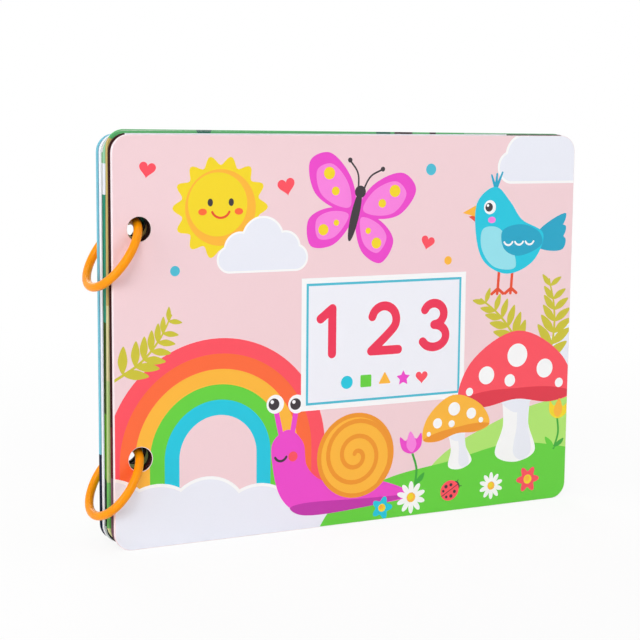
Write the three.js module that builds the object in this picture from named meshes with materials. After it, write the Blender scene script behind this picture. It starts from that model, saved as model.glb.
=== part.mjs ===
// A quiet book: six die-cut boards bound by two snap rings, with picture cards inside that peel
// off their hook-and-loop dots. Millimetres, +Z up. The book stands on its lower edges with its
// front cover towards -Y, and X runs from the spine to the free edges.
// The origin is the middle of the back cover's lower edge.
import * as THREE from "three";

// Boards
const leafWidth = 210;
const leafHeight = 160;
const leafThickness = 1.8;
const leafGap = 1.6;
const cornerRadius = 7;
const arrisRound = 0.25;
const pageCount = 4;

// Binding holes, measured from the spine edge and about the middle of the height
const holeRadius = 4.75;
const holeInset = 10.6;
const holeSpacing = 88.8;

// Snap rings
const rodRadius = 1.7;
const ringDroop = THREE.MathUtils.degToRad(55.97); // from the holes down towards the spine
const ringYaw = THREE.MathUtils.degToRad(3.994); // the play in the holes also lets a ring hang askew
const ringRoll = THREE.MathUtils.degToRad(1.902);
const clasp = {
  angle: THREE.MathUtils.degToRad(78), // where the ring parts, measured from the holes
  mouthGap: 0.3,
  pinRadius: 0.6,
  pinLength: 4.6,
  tipRadius: 0.3,
  barbRadius: 0.95,
  barbLength: 1.5,
  fit: 0.3, // clearance all round the pin
};

// Picture cards and the dots that hold them
const cardSize = 44;
const cardThickness = 0.5;
const cardClearance = 0.35; // free height left over a card in the closed book
const dotRadius = 6.5;

// Facets
const cornerSteps = 4;
const holeSteps = 11;
const cardSteps = 5;
const curveSteps = 4;
const dotSteps = 20;
const rodSides = 12;
const rodSteps = 56;

// What follows from the sizes above
const leafPitch = leafThickness + leafGap;
const leafCount = pageCount + 2;
const stackDepth = leafPitch * (leafCount - 1) + leafThickness;
const stackMiddleY = (-leafPitch * (leafCount - 1)) / 2;
const holeX = holeInset - leafWidth / 2;
const holeHeights = { upper: (leafHeight + holeSpacing) / 2, lower: (leafHeight - holeSpacing) / 2 };
const dotThickness = (leafGap - cardThickness - cardClearance) / 2;

// Inside the closed book a ring's rod rises by the height of an arc. That arc takes a set share of
// the play between hole and rod, which settles the radius of the smallest ring that still threads.
const holePlay = holeRadius - rodRadius;
const arcRiseShare = 1.0879;
const arcRise = arcRiseShare * holePlay;
const ringRadius = ((stackDepth / 2) ** 2 + arcRise ** 2) / (2 * arcRise);
// Where the rod's middle rides in the hole, from its centre and as shares of the play
const rodShares = { out: 0.204, along: -0.0798, lift: 0.8867 };

const looks = {
  front_cover: board(0xf4d3da),
  page_1: board(0x340c0e),
  page_2: board(0x5fba73),
  page_3: board(0x8a9a45),
  page_4: board(0xf2f2f7),
  back_cover: board(0x78bed2),
};
const ringLook = new THREE.MeshStandardMaterial({ color: 0xffa00a, roughness: 0.28 });
const hookLook = new THREE.MeshStandardMaterial({ color: 0xf7f7f2, roughness: 0.95 });
const loopLook = new THREE.MeshStandardMaterial({ color: 0xefefe8, roughness: 1 });

function board(color) {
  return new THREE.MeshStandardMaterial({ color, roughness: 0.45 });
}

// A leaf is seldom quite square in the stack: shift along X, lift, and a turn in its own plane.
const square = { shift: 0, lift: 0, turn: 0 };
const lie = {
  page_1: { shift: 0.1, lift: 0.4, turn: 0 },
  page_2: { shift: 0, lift: 1.3, turn: THREE.MathUtils.degToRad(-0.33) },
  page_3: { shift: 0.5, lift: 0, turn: 0 },
};

// Outlines

function roundedRectangle(width, height, radius) {
  const x = width / 2 - radius;
  const y = height / 2 - radius;
  const shape = new THREE.Shape();
  shape.absarc(x, y, radius, 0, Math.PI / 2);
  shape.absarc(-x, y, radius, Math.PI / 2, Math.PI);
  shape.absarc(-x, -y, radius, Math.PI, 1.5 * Math.PI);
  shape.absarc(x, -y, radius, 1.5 * Math.PI, 2 * Math.PI);
  return shape;
}

function punchedHole(y) {
  const hole = new THREE.Path();
  const turn = 2 * Math.PI;
  for (let k = 0; k < holeSteps * 2; k++) {
    const angle = (-turn * k) / (holeSteps * 2);
    const x = holeX + holeRadius * Math.cos(angle);
    hole[k ? "lineTo" : "moveTo"](x, y + holeRadius * Math.sin(angle));
  }
  hole.closePath();
  return hole;
}

// A polygon with its corners on a circle, every other one drawn in to the waist share for a star.
// Each corner is rounded by a curve that starts this share along its two sides.
function softPolygon({ corners, reachShare, waistShare, softShare }) {
  const points = Array.from({ length: corners }, (_, k) => {
    const angle = Math.PI / 2 + (2 * Math.PI * k) / corners;
    const distance = cardReach * reachShare * (k % 2 ? waistShare : 1);
    return new THREE.Vector2(distance * Math.cos(angle), distance * Math.sin(angle));
  });
  const shape = new THREE.Shape();
  points.forEach((corner, k) => {
    const before = points.at(k - 1);
    const after = points[(k + 1) % corners];
    const start = corner.clone().lerp(before, softShare);
    const end = corner.clone().lerp(after, softShare);
    shape[k ? "lineTo" : "moveTo"](start.x, start.y);
    shape.quadraticCurveTo(corner.x, corner.y, end.x, end.y);
  });
  shape.closePath();
  return shape;
}

// A round whose edge waves in and out: petals or rays
function wavedRound({ waves, reachShare, depthShare, steps }) {
  const shape = new THREE.Shape();
  for (let k = 0; k < steps; k++) {
    const angle = (2 * Math.PI * k) / steps;
    const distance = cardReach * reachShare * (1 - depthShare + depthShare * Math.cos(waves * angle));
    shape[k ? "lineTo" : "moveTo"](distance * Math.cos(angle), distance * Math.sin(angle));
  }
  shape.closePath();
  return shape;
}

// A smooth outline that is alike left and right, given by its right half from top to bottom as
// shares of the card's reach
function mirroredCurve({ halfShares }) {
  const left = halfShares.filter(([x]) => x > 0).reverse().map(([x, y]) => [-x, y]);
  const shares = [...halfShares, ...left].reverse();
  const points = shares.map(([x, y]) => new THREE.Vector3(x * cardReach, y * cardReach, 0));
  const steps = points.length * curveSteps;
  const curve = new THREE.CatmullRomCurve3(points, true).getPoints(steps).slice(0, steps);
  return new THREE.Shape(curve.map(({ x, y }) => new THREE.Vector2(x, y)));
}

function crescent({ tipAngle }) {
  const shape = new THREE.Shape();
  shape.absarc(0, 0, cardReach, tipAngle, 2 * Math.PI - tipAngle);
  const innerX = cardReach * Math.cos(tipAngle);
  const innerRadius = cardReach * Math.sin(tipAngle);
  shape.absarc(innerX, 0, innerRadius, 1.5 * Math.PI, Math.PI / 2, true);
  return shape;
}

const cardReach = cardSize / 2;
const cardShapes = {
  round: { make: () => new THREE.Shape().absarc(0, 0, cardReach, 0, 2 * Math.PI) },
  square: {
    make: ({ cornerShare }) => roundedRectangle(cardSize, cardSize, cornerShare * cardSize),
    cornerShare: 0.125,
  },
  triangle: { make: softPolygon, corners: 3, reachShare: 1.2, waistShare: 1, softShare: 0.16 },
  star: { make: softPolygon, corners: 10, reachShare: 1.1, waistShare: 0.55, softShare: 0.22 },
  hexagon: { make: softPolygon, corners: 6, reachShare: 1, waistShare: 1, softShare: 0.14 },
  sun: { make: wavedRound, waves: 12, reachShare: 1.05, depthShare: 0.08, steps: 60 },
  flower: { make: wavedRound, waves: 5, reachShare: 1.05, depthShare: 0.16, steps: 45 },
  moon: { make: crescent, tipAngle: THREE.MathUtils.degToRad(56.25) },
  heart: {
    make: mirroredCurve,
    halfShares: [[0, 0.5], [0.42, 0.86], [0.95, 0.55], [0.82, -0.1], [0.4, -0.62], [0, -1]],
  },
  cloud: {
    make: mirroredCurve,
    halfShares: [[0, 0.72], [0.42, 0.58], [0.62, 0.26], [1.1, 0.1], [1.08, -0.45], [0, -0.5]],
  },
  leaf: {
    make: mirroredCurve,
    halfShares: [[0, 1.15], [0.42, 0.6], [0.56, 0], [0.4, -0.6], [0, -1.1]],
  },
  mushroom: {
    make: mirroredCurve,
    halfShares: [
      [0, 0.95],
      [0.7, 0.72],
      [1.05, 0.1],
      [0.85, -0.12],
      [0.42, -0.2],
      [0.4, -0.8],
      [0, -0.95],
    ],
  },
  apple: {
    make: mirroredCurve,
    halfShares: [[0, 0.72], [0.42, 0.92], [0.95, 0.5], [0.85, -0.3], [0.42, -0.92], [0, -0.82]],
  },
  drop: {
    make: mirroredCurve,
    halfShares: [[0, 1.15], [0.34, 0.45], [0.72, -0.2], [0.5, -0.8], [0, -1]],
  },
  butterfly: {
    make: mirroredCurve,
    halfShares: [
      [0, 0.42],
      [0.5, 0.9],
      [1.1, 0.72],
      [0.8, 0.05],
      [0.85, -0.62],
      [0.4, -0.8],
      [0, -0.4],
    ],
  },
};

// Each board that carries cards: the card's shape, its colour and its place on the board, as shares
// of the width from the spine and of the height from the lower edge
const cardsOn = {
  page_1: [
    ["round", 0xff484f, 0.27, 0.68],
    ["square", 0x00c8e1, 0.56, 0.32],
    ["triangle", 0x5fd232, 0.82, 0.66],
  ],
  page_2: [
    ["star", 0xf5d700, 0.28, 0.3],
    ["heart", 0xff486e, 0.55, 0.7],
    ["hexagon", 0xff612d, 0.82, 0.33],
  ],
  page_3: [
    ["sun", 0xffb932, 0.27, 0.7],
    ["moon", 0xf041cd, 0.55, 0.32],
    ["cloud", 0xeff0fa, 0.82, 0.7],
  ],
  page_4: [
    ["flower", 0xf878dc, 0.27, 0.33],
    ["leaf", 0x5fd232, 0.55, 0.68],
    ["mushroom", 0xf02850, 0.82, 0.34],
  ],
  back_cover: [
    ["apple", 0xff486e, 0.27, 0.68],
    ["drop", 0x00c8e1, 0.55, 0.33],
    ["butterfly", 0xff612d, 0.82, 0.68],
  ],
};

// Pieces. A leaf's own frame has its middle at zero, X to the right, Y up and Z out of its front.

function namedMesh(name, geometry, material) {
  const mesh = new THREE.Mesh(geometry, material);
  mesh.name = name;
  return mesh;
}

function leafBoard(name) {
  const shape = roundedRectangle(leafWidth, leafHeight, cornerRadius);
  shape.holes.push(punchedHole(holeSpacing / 2), punchedHole(-holeSpacing / 2));
  const geometry = new THREE.ExtrudeGeometry(shape, {
    depth: leafThickness - 2 * arrisRound,
    curveSegments: cornerSteps,
    bevelThickness: arrisRound,
    bevelSize: arrisRound,
    bevelOffset: -arrisRound,
    bevelSegments: 1,
  });
  geometry.translate(0, 0, arrisRound - leafThickness / 2);
  return namedMesh(name, geometry, looks[name]);
}

function flatCard(shapeName, color) {
  const settings = { depth: cardThickness, curveSegments: cardSteps, bevelEnabled: false };
  const outline = cardShapes[shapeName];
  const geometry = new THREE.ExtrudeGeometry(outline.make(outline), settings);
  const look = new THREE.MeshStandardMaterial({ color, roughness: 0.4 });
  return namedMesh(`${shapeName}_card`, geometry, look);
}

function dot(name, material) {
  const geometry = new THREE.CylinderGeometry(dotRadius, dotRadius, dotThickness, dotSteps);
  geometry.rotateX(Math.PI / 2);
  geometry.translate(0, 0, dotThickness / 2);
  return namedMesh(name, geometry, material);
}

// From the board outwards: loop dot, hook dot, card
function stuckCard([shapeName, color, acrossShare, upShare]) {
  const layers = new THREE.Group();
  const loops = dot(`${shapeName}_loop_dot`, loopLook);
  const hooks = dot(`${shapeName}_hook_dot`, hookLook);
  const card = flatCard(shapeName, color);
  hooks.position.z = dotThickness;
  card.position.z = 2 * dotThickness;
  layers.add(loops, hooks, card);
  layers.position.set((acrossShare - 0.5) * leafWidth, (upShare - 0.5) * leafHeight, leafThickness / 2);
  return layers;
}

function leaf(name, placeFromBack) {
  const { shift, lift, turn } = lie[name] ?? square;
  const group = new THREE.Group();
  group.add(leafBoard(name), ...(cardsOn[name] ?? []).map(stuckCard));
  group.rotation.set(Math.PI / 2, 0, turn);
  group.position.set(shift, -placeFromBack * leafPitch, leafHeight / 2 + lift);
  return group;
}

// Half-profile of the stretched-out ring, as (radius, length along the rod). It starts at the
// bottom of the socket in one end, comes out of its mouth, runs along the rod and ends with the
// barbed pin that the socket holds once the ring is closed.
function rodProfile() {
  const { mouthGap, pinRadius, pinLength, tipRadius, barbRadius, barbLength, fit } = clasp;
  const rodLength = 2 * Math.PI * ringRadius - mouthGap;
  const tip = pinLength - mouthGap;
  const barbStart = tip - barbLength;
  const socket = [
    [0, tip + fit],
    [pinRadius + fit, tip + fit],
    [barbRadius + fit, tip - barbLength / 2 + fit],
    [barbRadius + fit, barbStart - fit],
    [pinRadius + fit, barbStart - fit],
    [pinRadius + fit, 0],
  ];
  const rod = Array.from({ length: rodSteps + 1 }, (_, k) => [rodRadius, (rodLength * k) / rodSteps]);
  const pin = [
    [pinRadius, 0],
    [pinRadius, pinLength - barbLength],
    [barbRadius, pinLength - barbLength],
    [barbRadius, pinLength - barbLength / 2],
    [tipRadius, pinLength],
    [0, pinLength],
  ];
  const along = pin.map(([radius, length]) => [radius, rodLength + length]);
  return [...socket, ...rod, ...along].map(([radius, length]) => new THREE.Vector2(radius, length));
}

// The profile is revolved as a straight rod and then bent round to the ring's circle
function snapRing(name) {
  const geometry = new THREE.LatheGeometry(rodProfile(), rodSides);
  const place = geometry.attributes.position;
  for (let k = 0; k < place.count; k++) {
    const angle = clasp.angle + place.getY(k) / ringRadius;
    const out = ringRadius + place.getX(k);
    place.setXY(k, out * Math.cos(angle), out * Math.sin(angle));
  }
  return namedMesh(name, geometry, ringLook);
}

// A ring droops from the holes towards the spine, and hangs a little askew
function hungRing(name, holeHeight) {
  const ring = snapRing(name);
  ring.rotation.set(ringRoll, -ringDroop, ringYaw, "ZXY");
  const rodPlace = new THREE.Vector3(
    holeX + rodShares.out * holePlay,
    stackMiddleY + rodShares.along * holePlay,
    holeHeight + rodShares.lift * holePlay,
  );
  const fromCentreToRod = new THREE.Vector3(ringRadius, 0, 0).applyEuler(ring.rotation);
  ring.position.copy(rodPlace.sub(fromCentreToRod));
  return ring;
}

const book = new THREE.Group();
const pages = Array.from({ length: pageCount }, (_, k) => `page_${k + 1}`);
const leavesFromBack = ["front_cover", ...pages, "back_cover"].reverse();
leavesFromBack.forEach((name, place) => book.add(leaf(name, place)));
book.add(hungRing("upper_ring", holeHeights.upper), hungRing("lower_ring", holeHeights.lower));

export default book;
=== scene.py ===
# %% [markdown]
# # Dressing a ring-bound quiet book
# A quiet book is a stack of die-cut boards that two plastic snap rings hold together. Inside, picture
# cards peel off dots of hook-and-loop tape and stick down again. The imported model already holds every
# piece at its real size. This lesson gives the pieces their finish: printed and laminated board, bare
# cut edges, glossy moulded rings and woven tape.

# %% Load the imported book
import math

import bpy
import numpy as np
from mathutils import Matrix, Quaternion, Vector
from mathutils.geometry import delaunay_2d_cdt


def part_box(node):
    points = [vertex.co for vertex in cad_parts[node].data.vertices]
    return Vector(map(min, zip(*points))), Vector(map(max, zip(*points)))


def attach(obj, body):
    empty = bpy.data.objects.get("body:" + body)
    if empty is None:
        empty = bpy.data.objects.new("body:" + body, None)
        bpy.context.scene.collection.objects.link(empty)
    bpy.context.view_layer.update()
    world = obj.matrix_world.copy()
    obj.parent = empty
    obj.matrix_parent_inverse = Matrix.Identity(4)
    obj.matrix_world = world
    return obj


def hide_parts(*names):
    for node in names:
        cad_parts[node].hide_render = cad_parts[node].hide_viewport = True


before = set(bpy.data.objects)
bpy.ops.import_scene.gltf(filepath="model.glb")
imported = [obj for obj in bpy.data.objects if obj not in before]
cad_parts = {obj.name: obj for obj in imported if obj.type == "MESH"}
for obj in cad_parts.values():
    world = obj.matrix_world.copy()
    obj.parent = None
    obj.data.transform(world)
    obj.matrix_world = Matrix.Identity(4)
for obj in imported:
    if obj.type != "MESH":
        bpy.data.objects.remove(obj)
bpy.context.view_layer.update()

MM = 0.001

# %% [markdown]
# ## Where the photograph was taken from
# A book photographed for a shop is seen from a little to the left, so that the bound edge shows as well
# as the cover. A camera can be set by angles, but a place and a point to look at are easier to check
# against a picture. The lens is long, so the far end of the cover is only a little smaller.

# %% Camera
camera_place = Vector((-289.03, -560.58, 166.54)) * MM
camera_target = Vector((-17.96, -18.40, 85.97)) * MM
camera_roll = math.radians(0.5)
camera_lens = 85.368
sensor_width = 36.0


def add_object(name, data):
    """Puts a camera, a lamp or a mesh into the scene as an object."""
    made = bpy.data.objects.new(name, data)
    bpy.context.scene.collection.objects.link(made)
    return made


camera_data = bpy.data.cameras.new("camera")
camera_data.lens = camera_lens
camera_data.sensor_width = sensor_width
camera_data.clip_start = 10 * MM
camera = add_object("camera", camera_data)
facing = (camera_target - camera_place).to_track_quat("-Z", "Y")
camera.rotation_mode = "QUATERNION"
camera.rotation_quaternion = facing @ Quaternion((0, 0, 1), camera_roll)
camera.location = camera_place
bpy.context.scene.camera = camera
bpy.context.scene.view_settings.view_transform = "Standard"
print("camera stands", round((camera_target - camera_place).length / MM), "mm from the cover")

# %% [markdown]
# ## Colours as they are written on a colour chart
# Inks are chosen on a screen, so they are written as sRGB numbers from 0 to 255. Blender mixes light,
# so it wants linear values. One function turns the first into the second, and nothing else in the
# script deals with the difference. Names such as "deep lime" then stand for inks wherever one is used.

# %% Inks
def linear(ink):
    """Linear RGB from sRGB: below the knee divide by 12.92, above it a power of 2.4."""
    share = np.asarray(ink, float) / 255
    return np.where(share <= 0.04045, share / 12.92, ((share + 0.055) / 1.055) ** 2.4)


INKS = {
    "pink": (245, 212, 217),
    "blush": (250, 190, 200),
    "pale blush": (250, 232, 236),
    "cloud": (238, 240, 250),
    "white": (252, 252, 253),
    "panel": (243, 244, 252),
    "cyan": (0, 200, 225),
    "deep cyan": (0, 165, 200),
    "pale cyan": (150, 228, 240),
    "lime": (98, 210, 52),
    "deep lime": (52, 168, 48),
    "pale lime": (178, 232, 110),
    "orange": (255, 104, 48),
    "deep orange": (232, 70, 30),
    "coral": (255, 76, 92),
    "deep coral": (226, 44, 66),
    "amber": (255, 185, 50),
    "deep amber": (242, 150, 25),
    "yellow": (248, 218, 20),
    "magenta": (240, 66, 205),
    "light magenta": (252, 130, 225),
    "olive": (205, 195, 45),
    "crimson": (240, 42, 82),
    "turquoise": (70, 190, 215),
    "dark": (45, 35, 42),
    "night": (48, 9, 8),
    "leaf green": (95, 186, 115),
    "pine": (30, 105, 85),
    "tan": (200, 176, 108),
    "sky": (122, 196, 216),
    "navy": (20, 32, 58),
    "plum": (196, 40, 172),
    # Printed on the branches, and also used as the painted shade inside the punched holes.
    "bark_and_hole_shade": (44, 24, 18),
    "mauve": (112, 78, 90),
    "rust": (92, 24, 30),
    "moss light": (222, 220, 160),
    "grass": (110, 190, 95),
    "lime wash": (184, 204, 136),
    "straw": (216, 208, 156),
    "black green": (20, 38, 26),
    "grass dark": (82, 142, 22),
    "olive dark": (50, 74, 14),
    "sea": (42, 138, 112),
    "mist green": (150, 205, 165),
}
print("inks mixed:", len(INKS))

# %% [markdown]
# ## A pale floor and soft studio light
# Product pictures use a few large lamps close by, so that shadows are soft and gloss shows as long
# quiet streaks. White surroundings alone could light the book, but they would leave its gloss flat. So
# five lamps give most of the light, at a level where a printed colour renders about as it is written.
# The floor and the surroundings look white to the camera, in gloss and through clear things, but they
# don't add that white to the light on the book.

# %% Nodes by short calls
WHITE = (1, 1, 1, 1)


def plug_in(tree, node, values):
    """Sets a node's sockets, named or numbered, to constants or to other sockets."""
    for socket, value in values.items():
        if isinstance(value, bpy.types.NodeSocket):
            tree.links.new(value, node.inputs[socket])
        else:
            node.inputs[socket].default_value = value
    return node


def wire(tree, kind, values=None, **settings):
    """Adds a shader node with its settings and its sockets' values."""
    made = tree.nodes.new("ShaderNode" + kind)
    for setting, value in settings.items():
        setattr(made, setting, value)
    return plug_in(tree, made, values or {})


def arithmetic(tree, operation, *values):
    """One step of arithmetic on numbers or sockets. Returns the socket with its result."""
    return wire(tree, "Math", dict(enumerate(values)), operation=operation).outputs[0]


def vector_step(tree, operation, *values):
    """The same on vectors."""
    return wire(tree, "VectorMath", dict(enumerate(values)), operation=operation).outputs[0]


def length_of(tree, vector):
    """How long a vector is."""
    return wire(tree, "VectorMath", {0: vector}, operation="LENGTH").outputs["Value"]


def remap(tree, value, ends, new_ends, **settings):
    """Moves a value from between two ends to between two new ones, and holds it there."""
    return wire(tree, "MapRange", dict(enumerate((value, *ends, *new_ends))), **settings).outputs[0]


def blend_shaders(tree, share, first, second):
    """The first shader where the share is 0, the second where it is 1."""
    return wire(tree, "MixShader", {0: share, 1: first.outputs[0], 2: second.outputs[0]})


def new_material(name):
    """An empty node material and its tree, with the output node ready."""
    material = bpy.data.materials.new(name)
    material.use_nodes = True
    tree = material.node_tree
    tree.nodes.clear()
    tree.nodes.new("ShaderNodeOutputMaterial")
    return material, tree


def finish_material(tree, shader):
    """Joins a shader to the material's output."""
    output = next(n for n in tree.nodes if n.type == "OUTPUT_MATERIAL")
    tree.links.new(shader.outputs[0], output.inputs["Surface"])


def seen_directly(tree):
    """1 for rays that show a surface as a picture: from the camera, off gloss or through glass."""
    path = wire(tree, "LightPath").outputs
    camera_or_gloss = arithmetic(tree, "MAXIMUM", path["Is Camera Ray"], path["Is Glossy Ray"])
    return arithmetic(tree, "MAXIMUM", camera_or_gloss, path["Is Transmission Ray"])


print("kinds of shader node at hand:", sum(kind.startswith("ShaderNode") for kind in dir(bpy.types)))

# %% Surroundings
ambient_strength = 0.32
world = bpy.data.worlds.new("studio")
bpy.context.scene.world = world
world.use_nodes = True
sky_tree = world.node_tree
sky_tree.nodes.clear()
sky_output = sky_tree.nodes.new("ShaderNodeOutputWorld")
sky_light = wire(sky_tree, "Background", {"Color": WHITE, "Strength": ambient_strength})
sky_shown = wire(sky_tree, "Background", {"Color": WHITE, "Strength": 1.0})
sky = blend_shaders(sky_tree, seen_directly(sky_tree), sky_light, sky_shown)
sky_tree.links.new(sky.outputs[0], sky_output.inputs["Surface"])
print("light from all round:", ambient_strength)

# %% Floor
FULL_TURN = 2 * np.pi
floor_radius = 4.0
floor_steps = 96
floor_grey = (0.93, 0.93, 0.93, 1)
floor_white_share = 0.88
shadow_fades = (0.15, 0.6)

floor_angles = np.linspace(0, FULL_TURN, floor_steps, endpoint=False)
floor_rim = np.stack([np.cos(floor_angles), np.sin(floor_angles), np.zeros(floor_steps)], 1) * floor_radius
floor_mesh = bpy.data.meshes.new("floor")
floor_mesh.from_pydata(floor_rim.tolist(), [], [list(range(floor_steps))])
floor = add_object("floor", floor_mesh)

floor_material, floor_tree = new_material("pale_floor")
floor_reach = length_of(floor_tree, wire(floor_tree, "TexCoord").outputs["Object"])
floor_fade = remap(
    floor_tree, floor_reach, shadow_fades, (floor_white_share, 1.0), interpolation_type="SMOOTHSTEP"
)
glow_share = arithmetic(floor_tree, "MULTIPLY", seen_directly(floor_tree), floor_fade)
floor_paper = wire(floor_tree, "BsdfDiffuse", {"Color": floor_grey})
floor_glow = wire(floor_tree, "Emission", {"Color": WHITE, "Strength": 1.0})
floor_top = blend_shaders(floor_tree, glow_share, floor_paper, floor_glow)
floor_below = wire(floor_tree, "NewGeometry").outputs["Backfacing"]
floor_clear = wire(floor_tree, "BsdfTransparent")
finish_material(floor_tree, blend_shaders(floor_tree, floor_below, floor_top, floor_clear))
floor_mesh.materials.append(floor_material)
print("floor:", 2 * floor_radius, "m across")

# %% Lamps
book_middle = Vector((0, -9, 80)) * MM


def softbox(name, place, size, watts):
    """A square area lamp that faces the middle of the book."""
    data = bpy.data.lights.new(name, "AREA")
    data.size = size
    data.energy = watts
    lamp = add_object(name, data)
    lamp.location = place
    lamp.rotation_mode = "QUATERNION"
    lamp.rotation_quaternion = (book_middle - Vector(place)).to_track_quat("-Z", "Y")


softbox("key_softbox", (-0.75, -1.15, 1.05), 0.7, 9.0)
softbox("fill_softbox", (1.2, -1.2, 0.7), 1.0, 5.2)
softbox("left_softbox", (-1.5, -0.3, 0.45), 0.9, 9.2)
softbox("back_softbox", (0.3, 1.5, 1.0), 0.9, 10.0)
softbox("top_softbox", (0.0, 0.0, 1.6), 0.8, 3.8)
print("lamps:", ", ".join(light.name for light in bpy.data.lights))

# %% [markdown]
# ## Effects that several finishes share
# Printed board, bare board and rings all need fine relief and a little unevenness. These could be
# written out in every material. Kept in node groups with named inputs, each is built once and placed
# with its own values. A group hands out numbers, such as a height or a roughness, and the shader stays
# in the material.

# %% A new node group
def new_group(name, vectors, numbers):
    """A shader node group with vector inputs, and with number inputs that have defaults.

    Returns its tree and the sockets of its inputs.
    """
    tree = bpy.data.node_groups.new(name, "ShaderNodeTree")
    for socket in vectors:
        tree.interface.new_socket(socket, in_out="INPUT", socket_type="NodeSocketVector")
    for socket, default in numbers.items():
        made = tree.interface.new_socket(socket, in_out="INPUT", socket_type="NodeSocketFloat")
        made.default_value = default
    start = tree.nodes.new("NodeGroupInput")
    return tree, [start.outputs[socket] for socket in (*vectors, *numbers)]


def hand_out(tree, results):
    """Gives a group a number output for each result."""
    for socket in results:
        tree.interface.new_socket(socket, in_out="OUTPUT", socket_type="NodeSocketFloat")
    plug_in(tree, tree.nodes.new("NodeGroupOutput"), results)
    print(tree.name, "has", len(tree.nodes), "nodes")


def place_group(tree, group, values):
    """Puts a group into a material's tree and sets its inputs. Returns its outputs."""
    made = tree.nodes.new("ShaderNodeGroup")
    made.node_tree = group
    return plug_in(tree, made, values).outputs


def noise(tree, place, scale, detail, roughness):
    """A fractal noise, about a half on average. Its largest blobs are about one over the scale long."""
    values = {"Vector": place, "Scale": scale, "Detail": detail, "Roughness": roughness}
    return wire(tree, "TexNoise", values).outputs[0]


# %% [markdown]
# ### Laminating film
# A clear satin film is rolled on over the print. It follows the paper's fibres, which are under two
# tenths of a millimetre apart, and it lies in very shallow waves some millimetres long, which make the
# gloss wander. A shader of one roughness would look like glass. So two noises of those two sizes give
# the relief. The finer one mottles the ink as well, and a third, some centimetres across, shifts the
# roughness a little.

# %% Film group
fibre_scale = 6500.0
wave_scale = 210.0
drift_scale = 26.0
noise_middle = (0.3, 0.7)
gloss_drift = (-0.05, 0.07)
ink_mottle = (0.975, 1.015)

film_group, (film_place, fibre_size, wave_size, film_gloss) = new_group(
    "film_relief", ["Place"], {"Fibre": 0.00002, "Wave": 0.00004, "Gloss": 0.38}
)
fibre_noise = noise(film_group, film_place, fibre_scale, 2.0, 0.6)
wave_noise = noise(film_group, film_place, wave_scale, 1.5, 0.4)
drift_noise = noise(film_group, film_place, drift_scale, 3.0, 0.6)
fibre_height = arithmetic(film_group, "MULTIPLY", fibre_noise, fibre_size)
film_height = arithmetic(film_group, "MULTIPLY_ADD", wave_noise, wave_size, fibre_height)
film_drift = remap(film_group, drift_noise, noise_middle, gloss_drift)
film_roughness = arithmetic(film_group, "ADD", film_drift, film_gloss)
film_mottle = remap(film_group, fibre_noise, noise_middle, ink_mottle)
hand_out(film_group, {"Height": film_height, "Roughness": film_roughness, "Mottle": film_mottle})

# %% [markdown]
# ### Wear along a die-cut rim
# The print of a handled book scuffs first along its edges, where it goes pale. Blender's pointiness
# finds edges too, but it depends on how dense a mesh is. How far a point is from the rim of a rounded
# rectangle has a plain formula: fold the point into one corner, take away the straight part, and compare
# what is left with the corner's radius. The mask is strongest at the rim, ends within half a millimetre,
# and a noise breaks it up.

# %% Rim group
scuff_scale = 900.0
scuff_breaks = 1.5
scuff_ends = (0.75, 1.05)
most_scuffed = 0.42

rim_group, (rim_place, rim_half, rim_corner, rim_reach) = new_group(
    "rim_wear", ["Place", "Half"], {"Corner": 0.007, "Reach": 0.0004}
)
rim_fold = vector_step(rim_group, "ABSOLUTE", rim_place)
rim_past = vector_step(rim_group, "SUBTRACT", rim_fold, rim_half)
rim_left = vector_step(rim_group, "MAXIMUM", rim_past, (0, 0, 0))
rim_inside = arithmetic(rim_group, "SUBTRACT", rim_corner, length_of(rim_group, rim_left))
rim_share = arithmetic(rim_group, "DIVIDE", rim_inside, rim_reach)
scuff_noise = noise(rim_group, rim_place, scuff_scale, 4.0, 0.65)
rim_broken = arithmetic(rim_group, "MULTIPLY_ADD", scuff_noise, scuff_breaks, rim_share)
rim_wear = remap(rim_group, rim_broken, scuff_ends, (most_scuffed, 0.0))
hand_out(rim_group, {"Wear": rim_wear})

# %% [markdown]
# ### Pressed fibres on a cut edge
# The die shears through layers of paper, so a cut edge shows fine lines that run along the board. They
# are too thin to be modelled. They come from a noise that is drawn out along the board and squeezed
# through its thickness, which here is the depth of the book.

# %% Fibre group
layer_scale = 900.0
layer_squeeze = (0.35, 6.0, 0.35)
layer_shade = (0.86, 1.06)

fibre_group, (cut_place, cut_depth) = new_group("cut_fibres", ["Place"], {"Depth": 0.00006})
layer_place = vector_step(fibre_group, "MULTIPLY", cut_place, layer_squeeze)
layer_noise = noise(fibre_group, layer_place, layer_scale, 3.0, 0.6)
layer_height = arithmetic(fibre_group, "MULTIPLY", layer_noise, cut_depth)
layer_shading = remap(fibre_group, layer_noise, noise_middle, layer_shade)
hand_out(fibre_group, {"Height": layer_height, "Shade": layer_shading})

# %% [markdown]
# ## The finishes themselves
# A print could be a picture that is wrapped round the board, but then its outlines blur close up. Here
# it is stored in the mesh, as one colour at all corners of a face, so that every outline stays sharp at
# any distance. The film over it is a principled shader of satin roughness with a thin clear coat. A cut
# edge reads the same attribute, but it is rough and has no coat.

# %% Printed film and cut board
board_corner = 7.0
scuffed_paper = (250, 244, 242)
cover_low, cover_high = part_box("front_cover")
board_size = (cover_high - cover_low) / MM
print("boards measure", [round(v, 2) for v in board_size], "mm")


def scaled(tree, colour, share):
    """A colour times a number."""
    return wire(tree, "VectorMath", {0: colour, "Scale": share}, operation="SCALE").outputs[0]


def bumped(tree, height, strength):
    """The normal of a height in metres, at a share of its full strength."""
    return wire(tree, "Bump", {"Height": height, "Distance": 1.0, "Strength": strength}).outputs[0]


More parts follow.
